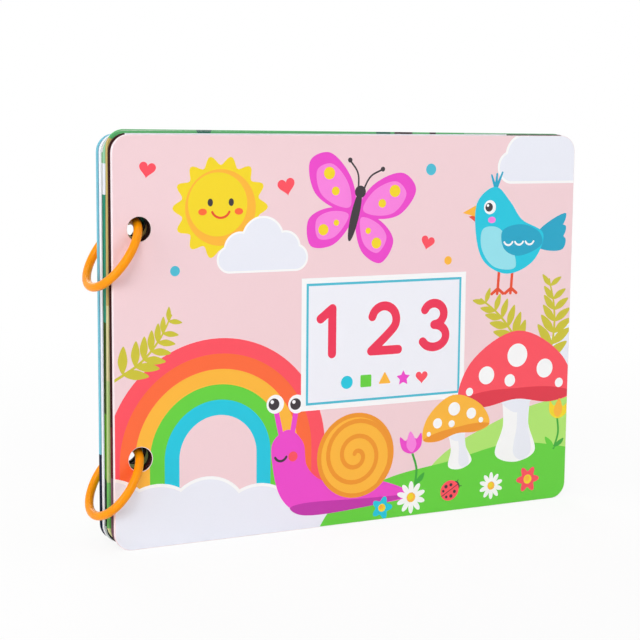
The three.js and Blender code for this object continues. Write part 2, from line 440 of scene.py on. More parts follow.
def printed_film(name, centre, half_straight, corner):
    """Satin laminated print. centre and half_straight place the rim that wears, in metres."""
    material, tree = new_material(name)
    spot = wire(tree, "TexCoord").outputs["Object"]
    ink = wire(tree, "Attribute", attribute_name="print").outputs["Color"]
    film = place_group(tree, film_group, {"Place": spot})
    from_middle = wire(tree, "Mapping", {"Vector": spot, "Location": [-v for v in centre]}).outputs[0]
    rim = {"Place": from_middle, "Half": half_straight, "Corner": corner}
    wear = place_group(tree, rim_group, rim)["Wear"]
    mottled = scaled(tree, ink, film["Mottle"])
    colours = {"Factor": wear, 6: mottled, 7: (*linear(scuffed_paper), 1)}
    worn = wire(tree, "Mix", colours, data_type="RGBA").outputs[2]
    finish = {
        "Base Color": worn,
        "Roughness": film["Roughness"],
        "Normal": bumped(tree, film["Height"], 0.6),
        "Coat Weight": 0.12,
        "Coat Roughness": 0.22,
        "IOR": 1.45,
    }
    finish_material(tree, wire(tree, "BsdfPrincipled", finish))
    return material


def cut_board(name):
    """Bare sheared board, tinted by the print attribute."""
    material, tree = new_material(name)
    spot = wire(tree, "TexCoord").outputs["Object"]
    ink = wire(tree, "Attribute", attribute_name="print").outputs["Color"]
    fibres = place_group(tree, fibre_group, {"Place": spot})
    finish = {
        "Base Color": scaled(tree, ink, fibres["Shade"]),
        "Roughness": 0.82,
        "Specular IOR Level": 0.15,
        "Normal": bumped(tree, fibres["Height"], 0.8),
    }
    finish_material(tree, wire(tree, "BsdfPrincipled", finish))
    return material


cut_edge = cut_board("cut_board_edge")
print("finish made:", cut_edge.name)

# %% [markdown]
# ## Outlines
# Every printed shape, board and card is a closed outline, kept as an array of points. A long list of
# points could hold any of them, but it would hide what the shape is. Round shapes come straight from a
# formula instead. Free shapes are a smooth curve through a few given points, and a stroke is such a
# curve with a width.

# %% Round and straight outlines
def arc(x, y, rx, ry, start, end, steps):
    """Points x + rx cos a, y + ry sin a for steps + 1 angles a, in degrees, from start to end."""
    a = np.radians(np.linspace(start, end, steps + 1))
    return np.stack([x + rx * np.cos(a), y + ry * np.sin(a)], 1)


def oval(x, y, rx, ry=None, steps=48):
    """A whole ellipse about x, y."""
    return arc(x, y, rx, rx if ry is None else ry, 0, 360, steps)[:-1]


def rectangle(x0, y0, x1, y1):
    """Four corners."""
    return np.array([(x0, y0), (x1, y0), (x1, y1), (x0, y1)], float)


def rounded_rectangle(width, height, radius, steps=14):
    """Quarter arcs about the four corner centres, in a frame whose middle is zero."""
    x, y = width / 2 - radius, height / 2 - radius
    quarters = ((x, y, 0), (-x, y, 90), (-x, -y, 180), (x, -y, 270))
    return np.concatenate([arc(cx, cy, radius, radius, a, a + 90, steps) for cx, cy, a in quarters])


def wavy(radius, waves, depth, steps=120):
    """Radius r(a) = R (1 - d + d cos(n a)) for petals or rays."""
    a = np.linspace(0, FULL_TURN, steps, endpoint=False)
    r = radius * (1 - depth + depth * np.cos(waves * a))
    return np.stack([r * np.cos(a), r * np.sin(a)], 1)


def spokes(count, radius, waist=1.0):
    """Corners on a circle from the top round, every other one drawn in to the waist share."""
    k = np.arange(count)
    a = np.pi / 2 + FULL_TURN * k / count
    r = radius * np.where(k % 2, waist, 1.0)
    return np.stack([r * np.cos(a), r * np.sin(a)], 1)


def softened(corners, share, steps=8):
    """Rounds each corner by a parabola that starts and ends this share along its two sides."""
    before = corners + share * (np.roll(corners, 1, 0) - corners)
    after = corners + share * (np.roll(corners, -1, 0) - corners)
    t = np.linspace(0, 1, steps + 1)[None, :, None]
    bend = (1 - t) ** 2 * before[:, None] + 2 * t * (1 - t) * corners[:, None] + t**2 * after[:, None]
    return bend.reshape(-1, 2)


print("a round outline takes", len(oval(0, 0, 1)), "points")

# %% Smooth curves and strokes
def smooth(points, closed=True, steps=8):
    """A centripetal Catmull-Rom curve: cubic pieces c(t) = p1 + m1 t + c2 t^2 + c3 t^3 between points.

    The tangents m1 and m2 weigh each span by the root of its length, so that the curve makes no loop.
    """
    p = np.asarray(points, float)
    if closed:
        p0, p1, p2, p3 = np.roll(p, 1, 0), p, np.roll(p, -1, 0), np.roll(p, -2, 0)
    else:
        ends = np.concatenate([[2 * p[0] - p[1]], p, [2 * p[-1] - p[-2]]])
        p0, p1, p2, p3 = ends[:-3], ends[1:-2], ends[2:-1], ends[3:]
    spans = ((p0, p1), (p1, p2), (p2, p3))
    d0, d1, d2 = (np.sqrt(np.linalg.norm(b - a, axis=1))[:, None] for a, b in spans)
    m1 = ((p1 - p0) / d0 - (p2 - p0) / (d0 + d1) + (p2 - p1) / d1) * d1
    m2 = ((p2 - p1) / d1 - (p3 - p1) / (d1 + d2) + (p3 - p2) / d2) * d1
    t = np.linspace(0, 1, steps, endpoint=False)[None, :, None]
    c2 = 3 * (p2 - p1) - 2 * m1 - m2
    c3 = 2 * (p1 - p2) + m1 + m2
    curve = p1[:, None] + m1[:, None] * t + c2[:, None] * t**2 + c3[:, None] * t**3
    curve = curve.reshape(-1, 2)
    return curve if closed else np.concatenate([curve, p[-1:]])


def stroke(points, width, tip=None, steps=8):
    """A pen line along a smooth open curve: its two sides, and half circles at its ends."""
    line = smooth(points, closed=False, steps=steps)
    along = np.gradient(line, axis=0)
    along /= np.linalg.norm(along, axis=1)[:, None]
    side = np.stack([-along[:, 1], along[:, 0]], 1)
    half = np.linspace(width, width if tip is None else tip, len(line))[:, None] / 2
    a = np.radians(np.linspace(90, -90, 9))[1:-1, None]
    end_cap = line[-1] + half[-1] * (np.cos(a) * along[-1] + np.sin(a) * side[-1])
    start_cap = line[0] - half[0] * (np.cos(a) * along[0] + np.sin(a) * side[0])
    return np.concatenate([line + half * side, end_cap, (line - half * side)[::-1], start_cap])[::-1]


def heart(steps=48):
    """Two lobes and a point: x = 16 sin^3 t, y = 13 cos t - 5 cos 2t - 2 cos 3t - cos 4t, over 17."""
    t = np.linspace(0, FULL_TURN, steps, endpoint=False)
    y = 13 * np.cos(t) - 5 * np.cos(2 * t) - 2 * np.cos(3 * t) - np.cos(4 * t)
    return np.stack([16 * np.sin(t) ** 3, y], 1) / 17


def both_sides(outline):
    """An outline and its mirror image in X."""
    return [outline, (outline * (-1, 1))[::-1]]


print("a heart takes", len(heart()), "points")

# %% [markdown]
# ## Little pictures
# Prints for small children are flat shapes in a few strong inks. A paint program could draw them, but
# then they would be pixels of one size. Here a picture is a list of outlines, each with the name of an
# ink. They are painted in that order, so a later one covers an earlier one. Each picture is drawn about
# its own middle in shares of its size, and a helper turns, mirrors and sizes it where it goes.

# %% Placing a picture
def placed(picture, x, y, size, turn=0.0, flip=False):
    """Scales a picture to size, mirrors it if asked, turns it by degrees and moves it to x, y."""
    c, s = math.cos(math.radians(turn)), math.sin(math.radians(turn))
    spin = np.array([(c, s), (-s, c)])
    mirror = np.array([-1, 1]) if flip else np.array([1, 1])
    return [((outline * mirror * size) @ spin + (x, y), ink) for outline, ink in picture]


def arranged(*entries):
    """Several pictures as one. An entry is a picture, and where, how large and how turned it goes."""
    return [part for entry in entries for part in placed(*entry)]


def disc(x, y, r, ink, ry=None):
    """One painted ellipse."""
    return (oval(x, y, r, ry), ink)


def bow(x, y, half, pen, ink="dark"):
    """A pen line along the lower third of a circle: a smile or a feather."""
    return (stroke(arc(x, y, half, half, 205, 335, 8), pen, steps=2), ink)


print("a smile takes", len(bow(0, 0, 1, 0.1)[0]), "points")

# %% Sky pictures
def cloud():
    """A bar with round ends and three puffs: all of it in white, grown by the rim, then in its ink."""
    rim = 0.04
    puffs = ((-0.46, 0.02, 0.3), (0.0, 0.2, 0.4), (0.46, 0.04, 0.28))
    made = []
    for grow, paint in ((rim, "white"), (0, "cloud")):
        made.append((rounded_rectangle(1.8 + 2 * grow, 0.44 + 2 * grow, 0.22 + grow) - (0, 0.16), paint))
        made += [disc(x, y, r + grow, paint) for x, y, r in puffs]
    return made


def sun():
    """A disc on a rim of waves."""
    glow = [(wavy(1.0, 14, 0.09), "yellow"), disc(0, 0, 0.74, "amber"), disc(-0.06, 0.06, 0.62, "yellow")]
    eyes = [disc(side * 0.22, 0.1, 0.055, "dark", 0.075) for side in (-1, 1)]
    cheeks = [disc(side * 0.38, -0.08, 0.09, "orange", 0.065) for side in (-1, 1)]
    return glow + eyes + cheeks + [bow(0, 0, 0.2, 0.045, "deep orange")]


def rainbow(ground):
    """Half discs on straight feet, one inside the other, the last in the ink of the ground."""
    bands = ("coral", "orange", "amber", "lime", "cyan", ground)
    band_width = 0.13
    radii = [1 - band_width * k for k in range(len(bands))]
    feet = [np.concatenate([arc(0, 0, r, r, 0, 180, 48), [(-r, -0.4), (r, -0.4)]]) for r in radii]
    return list(zip(feet, bands))


print("a cloud has", len(cloud()), "parts and the sun has", len(sun()))

# %% Garden pictures
def flower(petals, ink):
    """Round petals that grow together, with a heart in the middle."""
    return [(wavy(1.0, petals, 0.2), ink), disc(0, 0, 0.34, "yellow"), disc(-0.05, 0.06, 0.2, "amber")]


def daisy():
    """Separate long white petals round a heart."""
    petal = [(oval(0, 0.62, 0.17, 0.38, steps=24), "white")]
    petals = arranged(*((petal, 0, 0, 1, turn) for turn in range(0, 360, 36)))
    return petals + [disc(0, 0, 0.3, "amber"), disc(-0.04, 0.05, 0.19, "yellow")]


def stalk():
    """A bent stem with two leaves."""
    leaf = smooth([(0, 0), (0.1, 0.2), (0.4, 0.36), (0.3, 0.12)])
    dark_leaf, light_leaf = [(leaf, "deep lime")], [(leaf, "lime")]
    stem = (stroke([(0, 0), (0.1, 0.5), (0, 1)], 0.07), "deep lime")
    return [stem, *arranged((dark_leaf, 0.02, 0.05, 0.8), (light_leaf, 0, 0.02, 0.95, 0, True))]


def tulip(ink, middle_ink):
    """A cup with three tips and a petal in its middle, on a stalk."""
    lip = [(0.34, 0.4), (0.17, 0.26), (0, 0.46), (-0.17, 0.26)]
    cup = smooth([(-0.34, 0.4), (-0.3, 0.02), (0, -0.14), (0.3, 0.02), *lip])
    petal = smooth([(0, -0.1), (0.16, 0.1), (0, 0.5), (-0.16, 0.1)])
    return placed(stalk(), 0, -1.1, 1) + [(cup, ink), (petal, middle_ink)]


def mushroom(ink, dark_ink):
    """A domed cap with dots, over a stem that swells towards its foot."""
    stem = smooth(
        [(-0.2, 0.1), (-0.22, -0.4), (-0.34, -0.82), (0, -0.95), (0.34, -0.82), (0.22, -0.4), (0.2, 0.1)]
    )
    skirt = smooth([(-0.3, 0.02), (0, -0.22), (0.3, 0.02), (0, 0.1)])
    brim = [(0.98, 0.02), (0.6, -0.1), (0, -0.02), (-0.6, -0.1)]
    cap = smooth([(-0.98, 0.02), (-0.8, 0.55), (0, 0.98), (0.8, 0.55), *brim])
    shade = smooth([(-0.98, 0.02), (-0.6, 0.12), (0, 0.14), (0.6, 0.12), *brim])
    large_spots = ((-0.52, 0.36, 0.13), (0.0, 0.62, 0.17), (0.48, 0.4, 0.14))
    small_spots = ((-0.12, 0.26, 0.09), (0.74, 0.17, 0.07), (-0.8, 0.14, 0.06))
    spots = [disc(x, y, r, "white") for x, y, r in large_spots + small_spots]
    foot = [(stem, "white"), (stem * (0.45, 0.96) + (0.12, -0.02), "cloud"), (skirt, "cloud")]
    return foot + [(cap, ink), (shade, dark_ink)] + spots


def sprig(pairs):
    """A bent stem with leaflets in pairs, which get shorter towards the tip."""
    bend = [(0.07, 0.35), (0.02, 0.7), (-0.1, 1.0)]
    t = np.linspace(0.12, 0.92, pairs)
    line = smooth([(0, 0), *bend], closed=False)
    at = line[(t * (len(line) - 1)).astype(int)]
    leaflet = [(smooth([(0, 0), (0.16, 0.07), (0.36, 0.0), (0.16, -0.06)]), "olive")]
    made = [(stroke([(0, -0.1), *bend], 0.035, 0.02), "olive")]
    for (x, y), share in zip(at, 1 - 0.55 * t):
        made += arranged((leaflet, x, y, share, 42), (leaflet, x, y, share, 138))
    return made


def fruit_tree(ink, dark_ink):
    """A forked trunk, a crown of discs in two inks, and round fruit."""
    trunk = [(stroke([(0, -1.0), (0.02, -0.5), (0, 0.1)], 0.2, 0.1), "tan")]
    forks = [(stroke([(0.01, -0.4), (side * 0.2, -0.1)], 0.09, 0.05), "tan") for side in (-1, 1)]
    crown = ((-0.36, 0.05, 0.38), (0.34, 0.02, 0.4), (0.0, 0.42, 0.46), (0, 0.0, 0.36))
    dark = [disc(x, y, r, dark_ink) for x, y, r in crown]
    light = [disc(x - 0.04, y + 0.05, r - 0.06, ink) for x, y, r in crown]
    fruit = ((-0.45, 0.1), (0.1, 0.52), (0.45, 0.05), (-0.08, 0.12), (-0.22, 0.45), (0.32, 0.32))
    return trunk + forks + dark + light + [disc(x, y, 0.065, "coral") for x, y in fruit]


print("a mushroom has", len(mushroom("coral", "deep coral")), "parts")

# %% Animals
def eye(x, y, r):
    """White, pupil and a glint."""
    pupil = disc(x + 0.15 * r, y, 0.62 * r, "dark")
    return [disc(x, y, r, "white"), pupil, disc(x + 0.35 * r, y + 0.25 * r, 0.2 * r, "white")]


def butterfly(ink, light_ink, spot_ink="yellow"):
    """Two pairs of wings, each with a lighter field and spots, and a slim body."""
    upper = smooth([(0.03, 0.02), (0.2, 0.5), (0.7, 0.82), (1.0, 0.62), (0.82, 0.16), (0.4, -0.02)])
    lower = smooth([(0.03, 0), (0.5, -0.04), (0.8, -0.3), (0.66, -0.7), (0.3, -0.62), (0.08, -0.3)])
    upper_field, lower_field = upper * 0.74 + (0.1, 0.05), lower * 0.7 + (0.1, -0.06)
    wings = [(o, ink) for w in (upper, lower) for o in both_sides(w)]
    fields = [(o, light_ink) for w in (upper_field, lower_field) for o in both_sides(w)]
    dots = ((0.62, 0.5, 0.1), (0.44, 0.25, 0.07), (0.5, -0.4, 0.09), (0.3, -0.24, 0.05))
    spots = [disc(side * x, y, r, spot_ink) for x, y, r in dots for side in (-1, 1)]
    feelers = [(o, "dark") for o in both_sides(stroke([(0.03, 0.3), (0.12, 0.62), (0.3, 0.78)], 0.03))]
    knobs = [disc(side * 0.31, 0.79, 0.04, "dark") for side in (-1, 1)]
    body = [(oval(0, -0.06, 0.075, 0.42), "dark"), disc(0, 0.34, 0.1, "dark")]
    return wings + fields + spots + feelers + knobs + body


def snail(ink, dark_ink, shell, shell_line):
    """A long foot with a raised head, and a shell whose line spirals inwards."""
    back = [(-1.05, -0.53), (-0.6, -0.3), (0.25, -0.22), (0.5, 0.0), (0.56, 0.32), (0.76, 0.5)]
    belly = [(0.98, 0.36), (0.98, 0.02), (0.86, -0.38), (0.62, -0.58), (-0.3, -0.6)]
    foot = smooth(back + belly)
    sole = smooth([(-1.0, -0.53), (-0.3, -0.5), (0.62, -0.48), (0.74, -0.52), (0.6, -0.62), (-0.3, -0.62)])
    turns = np.linspace(0, 2.5 * FULL_TURN, 28)
    grow = 0.03 + 0.2 * turns / FULL_TURN
    spiral = np.stack([-0.2 + grow * np.cos(turns + 0.9), 0.08 + grow * np.sin(turns + 0.9)], 1)
    house = [disc(-0.2, 0.08, 0.56, shell_line), disc(-0.2, 0.08, 0.5, shell)]
    house.append((stroke(spiral, 0.06, steps=3), shell_line))
    stalk_ends = ([(0.72, 0.4), (0.66, 0.74)], [(0.86, 0.4), (0.94, 0.76)])
    stalks = [(stroke(ends, 0.07), ink) for ends in stalk_ends]
    face = eye(0.65, 0.82, 0.12) + eye(0.95, 0.84, 0.12)
    mouth = [bow(0.87, 0.19, 0.085, 0.032), disc(0.7, 0.15, 0.065, "coral")]
    return stalks + [(foot, ink), (sole, dark_ink)] + house + face + mouth


def bird(ink, dark_ink, belly):
    """A plump body, a wing, a fan of tail feathers, a crest and a beak."""
    drops = -0.2 * np.arange(3)
    tail = [smooth([(-0.5, 0.02), (-1.05, 0.32 + d), (-1.0, 0.14 + d), (-0.5, -0.2)]) for d in drops]
    hips = (-0.05, 0.2)
    legs = [stroke([(x, -0.5), (x + 0.02, -0.86)], 0.05) for x in hips]
    reaches = (-0.1, 0.01, 0.11)
    toes = [stroke([(x + 0.02, -0.85), (x + 0.02 + r, -0.93)], 0.05) for x in hips for r in reaches]
    under = [(-0.62, 0.0), (-0.45, -0.42), (0.05, -0.62), (0.5, -0.4), (0.66, 0.1)]
    body = smooth([*under, (0.62, 0.55), (0.3, 0.76), (0.02, 0.52), (-0.2, 0.24)])
    front = smooth([(-0.1, -0.52), (0.3, -0.5), (0.54, -0.2), (0.52, 0.1), (0.25, 0.12), (0.0, -0.15)])
    wing = smooth([(-0.55, 0.02), (-0.2, 0.16), (0.16, 0.06), (0.12, -0.22), (-0.15, -0.34), (-0.6, -0.16)])
    feathers = [bow(0.2 * k - 0.36, -0.08, 0.085, 0.03, "white") for k in range(3)]
    beak = np.array([(0.6, 0.5), (0.6, 0.28), (0.9, 0.36)])
    lower_beak = np.array([(0.6, 0.34), (0.6, 0.17), (0.79, 0.3)])
    crest = [stroke([(0.3, 0.72), (0.18 + 0.1 * k, 0.98 - 0.02 * k)], 0.06, 0.03) for k in range(3)]
    head = eye(0.4, 0.44, 0.11) + [disc(0.36, 0.24, 0.07, "light magenta", 0.05)]
    limbs = [(part, "deep orange") for part in legs + toes]
    plumes = [(part, dark_ink) for part in tail + crest]
    trunk = [(lower_beak, "deep orange"), (beak, "amber"), (body, ink), (front, belly), (wing, dark_ink)]
    return limbs + plumes + trunk + feathers + head


def ladybird():
    """A dome of two wing cases, a head and six spots."""
    spots = ((0.3, 0.3, 0.12), (0.42, -0.1, 0.13), (0.26, -0.45, 0.1))
    feelers = [(o, "dark") for o in both_sides(stroke([(0.1, 0.7), (0.28, 0.98)], 0.05))]
    middle_line = (stroke([(0, 0.76), (0, -0.76)], 0.05), "dark")
    shell = [disc(0, 0.6, 0.36, "dark", 0.3), disc(0, 0, 0.72, "coral", 0.78), middle_line]
    return feelers + shell + [disc(side * x, y, r, "dark") for x, y, r in spots for side in (-1, 1)]


print("a ladybird has", len(ladybird()), "parts")

# %% [markdown]
# ### Numbers and plain shapes for the title panel
# The panel is white with a turquoise line round it. It carries the numbers one, two and three, and a row
# of plain shapes under them. A font could give the numbers, with its own style and many points. Broad
# pen strokes, two or three to a number, are enough and match the other pictures.

# %% Numbers
def digits(ink):
    """1, 2 and 3 side by side, one unit tall, each a few strokes of one width."""
    pen = 0.17
    one = [stroke([(-1.36, 0.24), (-1.12, 0.42)], pen), stroke([(-1.12, 0.42), (-1.12, -0.42)], pen)]
    hook = arc(-0.03, 0.16, 0.26, 0.26, 165, -30, 10)
    two = [
        stroke([*hook, (0.05, -0.12), (-0.3, -0.42)], pen, steps=4),
        stroke([(-0.3, -0.42), (0.28, -0.42)], pen),
    ]
    three = [
        stroke(arc(1.05, 0.215, 0.22, 0.205, 155, -88, 10), pen, steps=4),
        stroke(arc(1.05, -0.205, 0.27, 0.215, 88, -152, 10), pen, steps=4),
    ]
    return [(part, ink) for part in one + two + three]


def shape_row():
    """A circle, a square, a triangle, a star and a heart, evenly spaced."""
    plain = (
        (oval(0, 0, 0.8), "cyan"),
        (softened(rectangle(-0.75, -0.75, 0.75, 0.75), 0.12), "lime"),
        (softened(spokes(3, 1.0), 0.12), "amber"),
        (softened(spokes(10, 1.0, 0.5), 0.2), "magenta"),
        (heart() * 0.9, "coral"),
    )
    gap = 2.6
    return [(outline + (gap * (k - 2), 0), ink) for k, (outline, ink) in enumerate(plain)]


print("the numbers take", len(digits("crimson")), "strokes")

# %% [markdown]
# ## What is printed on each side
# The front cover is a busy garden in strong colours on pink. Inside, a front is calmer, because cards
# lie on it: a ground, small marks all over, and a shape in one ink under each card that shows where it
# goes. A back has a few large pictures and no cards. Measures could be shares of a side, but a printer
# works in millimetres, and so does this: from the lower left corner, seen from in front of the side.

# %% Small marks
small_star = [(softened(spokes(10, 1.0, 0.5), 0.2), "yellow")]
small_dot = [(oval(0, 0, 1.0), "pale cyan")]
small_heart = [(heart(), "coral")]
small_leaf = [(smooth([(0, 1), (0.42, 0.3), (0.3, -0.5), (0, -1), (-0.3, -0.5), (-0.42, 0.3)]), "lime")]
drop_shape = smooth([(0, 1.1), (0.34, 0.4), (0.68, -0.25), (0, -0.95), (-0.68, -0.25), (-0.34, 0.4)])
small_drop = [(drop_shape, "pale cyan")]
small_disc = [(oval(0, 0, 1), "turquoise")]
print("a small leaf takes", len(small_leaf[0][0]), "points")

# %% The front cover
width, height = board_size.x, board_size.z
overrun = 5.0
bank_rim = 1.3
panel_low = (79.0, 49.0)
panel_high = (156.0, 103.0)
panel_line = 1.0
panel_border = 2.2


def panel():
    """White card, turquoise line, pale field, numbers and shapes."""
    (x0, y0), (x1, y1) = panel_low, panel_high
    inner, field = panel_border, panel_border + panel_line
    middle = (x0 + x1) / 2
    return [
        (rectangle(x0, y0, x1, y1), "white"),
        (rectangle(x0 + inner, y0 + inner, x1 - inner, y1 - inner), "turquoise"),
        (rectangle(x0 + field, y0 + field, x1 - field, y1 - field), "panel"),
        *arranged((digits("crimson"), middle, 81, 22), (shape_row(), middle, 59.5, 3.4)),
    ]


def cover_front():
    """Sky, plants and animals round the panel."""
    ground = [(260, 10), (230, -30)]
    hill = smooth([(84, -20), (92, 6), (118, 17), (150, 22), (182, 27), (218, 21), *ground, (120, -30)])
    far_hill = smooth([(120, -20), (140, 20), (172, 37), (205, 45), (240, 42), *ground, (150, -30)])
    bank = ((-4, 8, 20), (17, 5, 19), (38, 8, 17), (60, 2, 18), (84, -6, 19))
    return [
        (rectangle(-overrun, -overrun, width + overrun, height + overrun), "pink"),
        *arranged(
            (cloud(), 196, 151, 27),
            (rainbow("pink"), 43, 34, 47),
            (cloud(), 209, 66, 19),
            (sun(), 44, 132, 20),
            (cloud(), 62, 115, 21),
            (sprig(7), 1, 68, 32, -50),
            (sprig(7), 186, 60, 38, 30),
            (sprig(7), 197, 60, 38, -8),
            (butterfly("magenta", "light magenta"), 103, 129, 25, -14),
            (bird("cyan", "deep cyan", "pale cyan"), 178, 118, 27, 0, True),
        ),
        (far_hill, "pale lime"),
        *[disc(x, y, r + bank_rim, "white") for x, y, r in bank],
        *[disc(x, y, r, "cloud") for x, y, r in bank],
        *panel(),
        (hill, "lime"),
        *arranged(
            (mushroom("coral", "deep coral"), 183, 47, 30),
            (mushroom("amber", "deep amber"), 153, 34, 17, 8),
            (tulip("magenta", "light magenta"), 131, 29, 15, 6),
            (tulip("yellow", "amber"), 205, 38, 14, -6),
            (snail("magenta", "plum", "amber", "deep amber"), 98, 26, 32, 0, True),
            (daisy(), 131, 8, 7),
            (daisy(), 171, 9, 6),
            (ladybird(), 150, 9, 6, -60),
            (flower(6, "coral"), 190, 10, 6),
            (flower(5, "cyan"), 117, 5, 5),
            (small_heart, 72, 140, 4, 12),
            (small_heart, 137, 116, 3.4, -15),
            (small_heart, 14, 147, 3.6, -10),
            (small_disc, 25, 108, 2),
            (small_disc, 138, 146, 2.4),
            ([disc(0, 0, 1, "amber")], 147, 108, 1.8),
        ),
    ]


print("the panel is", panel_high[0] - panel_low[0], "by", panel_high[1] - panel_low[1], "mm")

# %% [markdown]
# ### The outlines of the cards
# Cards are die-cut to the shape of what they show. The pages need these outlines too, because each
# prints a shape a little larger than its card, into which the card fits like a piece into a tray puzzle.
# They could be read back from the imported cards, but those have fewer points round a curve. The first
# value is half the width of a round card, and every outline is written in shares of it.

# %% Card outlines
card_reach = 22.0


def half_curve(half):
    """A smooth outline that is alike left and right, from the points of its right half."""
    left = [(-x, y) for x, y in half if x > 0][::-1]
    return smooth([*half, *left][::-1], steps=10)


def crescent():
    """A disc's arc, and back along a smaller arc about a point towards its open side."""
    tip = 56.25
    inner = math.sin(math.radians(tip))
    outer_arc = arc(0, 0, 1, 1, tip, 360 - tip, 48)
    inner_arc = arc(math.cos(math.radians(tip)), 0, inner, inner, 270, 90, 40)
    return np.concatenate([outer_arc, inner_arc[1:-1]])


card_outlines = {
    "round": oval(0, 0, 1, steps=72),
    "square": rounded_rectangle(2, 2, 0.25),
    "triangle": softened(spokes(3, 1.2), 0.16),
    "star": softened(spokes(10, 1.1, 0.55), 0.22),
    "hexagon": softened(spokes(6, 1.0), 0.14),
    "heart": half_curve([(0, 0.5), (0.42, 0.86), (0.95, 0.55), (0.82, -0.1), (0.4, -0.62), (0, -1)]),
    "sun": wavy(1.05, 12, 0.08),
    "moon": crescent(),
    "cloud": half_curve([(0, 0.72), (0.42, 0.58), (0.62, 0.26), (1.1, 0.1), (1.08, -0.45), (0, -0.5)]),
    "flower": wavy(1.05, 5, 0.16),
    "leaf": half_curve([(0, 1.15), (0.42, 0.6), (0.56, 0), (0.4, -0.6), (0, -1.1)]),
    "mushroom": half_curve(
        [(0, 0.95), (0.7, 0.72), (1.05, 0.1), (0.85, -0.12), (0.42, -0.2), (0.4, -0.8), (0, -0.95)]
    ),
    "apple": half_curve([(0, 0.72), (0.42, 0.92), (0.95, 0.5), (0.85, -0.3), (0.42, -0.92), (0, -0.82)]),
    "drop": half_curve([(0, 1.15), (0.34, 0.45), (0.72, -0.2), (0.5, -0.8), (0, -1)]),
    "butterfly": half_curve(
        [(0, 0.42), (0.5, 0.9), (1.1, 0.72), (0.8, 0.05), (0.85, -0.62), (0.4, -0.8), (0, -0.4)]
    ),
}
print("card shapes:", ", ".join(card_outlines))

# %% Card plan
# Each card's shape, the ink inside its white border, the ink of its field, and where it lies, as shares
# of the width and the height.
card_plan = {
    "page_1": (
        ("round", "coral", "deep coral", 0.27, 0.68),
        ("square", "cyan", "deep cyan", 0.56, 0.32),
        ("triangle", "deep lime", "lime", 0.82, 0.66),
    ),
    "page_2": (
        ("star", "amber", "yellow", 0.28, 0.30),
        ("heart", "deep coral", "coral", 0.55, 0.70),
        ("hexagon", "deep orange", "orange", 0.82, 0.33),
    ),
    "page_3": (
        ("sun", "amber", "yellow", 0.27, 0.70),
        ("moon", "magenta", "light magenta", 0.55, 0.32),
        ("cloud", "pale cyan", "cloud", 0.82, 0.70),
    ),
    "page_4": (
        ("flower", "magenta", "light magenta", 0.27, 0.33),
        ("leaf", "deep lime", "lime", 0.55, 0.68),
        ("mushroom", "deep coral", "coral", 0.82, 0.34),
    ),
    "back_cover": (
        ("apple", "deep coral", "coral", 0.27, 0.68),
        ("drop", "deep cyan", "cyan", 0.55, 0.33),
        ("butterfly", "deep orange", "orange", 0.82, 0.68),
    ),
}
print("cards planned:", sum(len(cards) for cards in card_plan.values()))

# %% [markdown]
# ### Landscapes inside
# Every page shows another landscape, and its print runs out over the cut edge. So the closed book shows
# at its spine a strip of colours from each page: night, woods, sea, snow. The edges could be painted on
# their own, but then they wouldn't match the pages. A landscape is a table of inks with the height at
# which each starts at the spine. Its hills are sine waves that begin there at zero, which keeps the
# strip as the table says. The woods have treetops and branches along the top as well, for that page
# shows above the cover. The snowy page has a thin line beside its spine in the inks of the sea page,
# which makes that page's strip look a little wider in the closed book.

# %% Landscapes
leaf_names = ["front_cover", "page_1", "page_2", "page_3", "page_4", "back_cover"]
front_bands = {
    "page_1": [("mauve", 0), ("rust", 28), ("night", 48)],
    "page_2": [
        *(("moss light", 0), ("grass", 6), ("lime wash", 24)),
        *(("straw", 64), ("tan", 93), ("leaf green", 157)),
    ],
    "page_3": [
        *(("black green", 0), ("grass dark", 26), ("olive dark", 52)),
        *(("sea", 88), ("cloud", 137), ("mist green", 149)),
    ],
    "page_4": [("panel", 0), ("cloud", 40), ("panel", 92)],
    "back_cover": [("navy", 0), ("sky", 35)],
}
back_bands = {
    "front_cover": [("light magenta", 0), ("blush", 24)],
    "page_1": [("lime", 0), ("pale lime", 30), ("panel", 58)],
    "page_2": [("deep lime", 0), ("lime", 22), ("pale cyan", 46)],
    "page_3": [("grass", 0), ("lime wash", 28), ("straw", 58)],
    "page_4": [("lime", 0), ("pale lime", 28), ("blush", 62)],
    "back_cover": [("deep lime", 0), ("lime", 14), ("pale lime", 32), ("pink", 50)],
}


def landscape(bands, swell=6.0):
    """The top band's ink all over, then each lower band up to its crest.

    The crest is h + s sin(2 pi n x / width), with n = 0.45 + 0.3 k waves and, for odd k, -s.
    """
    x = np.linspace(-overrun, width + overrun, 90)
    made = [(rectangle(x[0], -overrun, x[-1], height + overrun), bands[-1][0])]
    for k in range(len(bands) - 1, 0, -1):
        waves = 0.45 + 0.3 * k
        crest = bands[k][1] + (-1) ** k * swell * np.sin(FULL_TURN * waves * x / width)
        foot = [(x[-1], -overrun), (x[0], -overrun)]
        made.append((np.concatenate([np.stack([x, crest], 1), foot]), bands[k - 1][0]))
    return made


print("landscapes:", len(front_bands) + len(back_bands))

# %% What grows and flies there
jitter = 0.28
lean_range = 25


def scattered(seed, count, pictures, low, high):
    """Small pictures in turn, at seeded sizes and turns, each jittered about its cell of a grid."""
    rng = np.random.default_rng(seed)
    columns = math.ceil(math.sqrt(count * width / height))
    rows = math.ceil(count / columns)
    made = []
    for k in range(count):
        x = (k % columns + 0.5 + rng.uniform(-jitter, jitter)) * width / columns
        y = (k // columns + 0.5 + rng.uniform(-jitter, jitter)) * height / rows
        size = rng.uniform(low, high)
        made += placed(pictures[k % len(pictures)], x, y, size, rng.uniform(-lean_range, lean_range))
    return made


def treetops(start, stop, step, ink):
    """A row of round crowns or clouds along the top edge, of changing size."""
    return [disc(x, height, 11 + 3 * math.sin(x), ink) for x in np.arange(start, stop, step)]


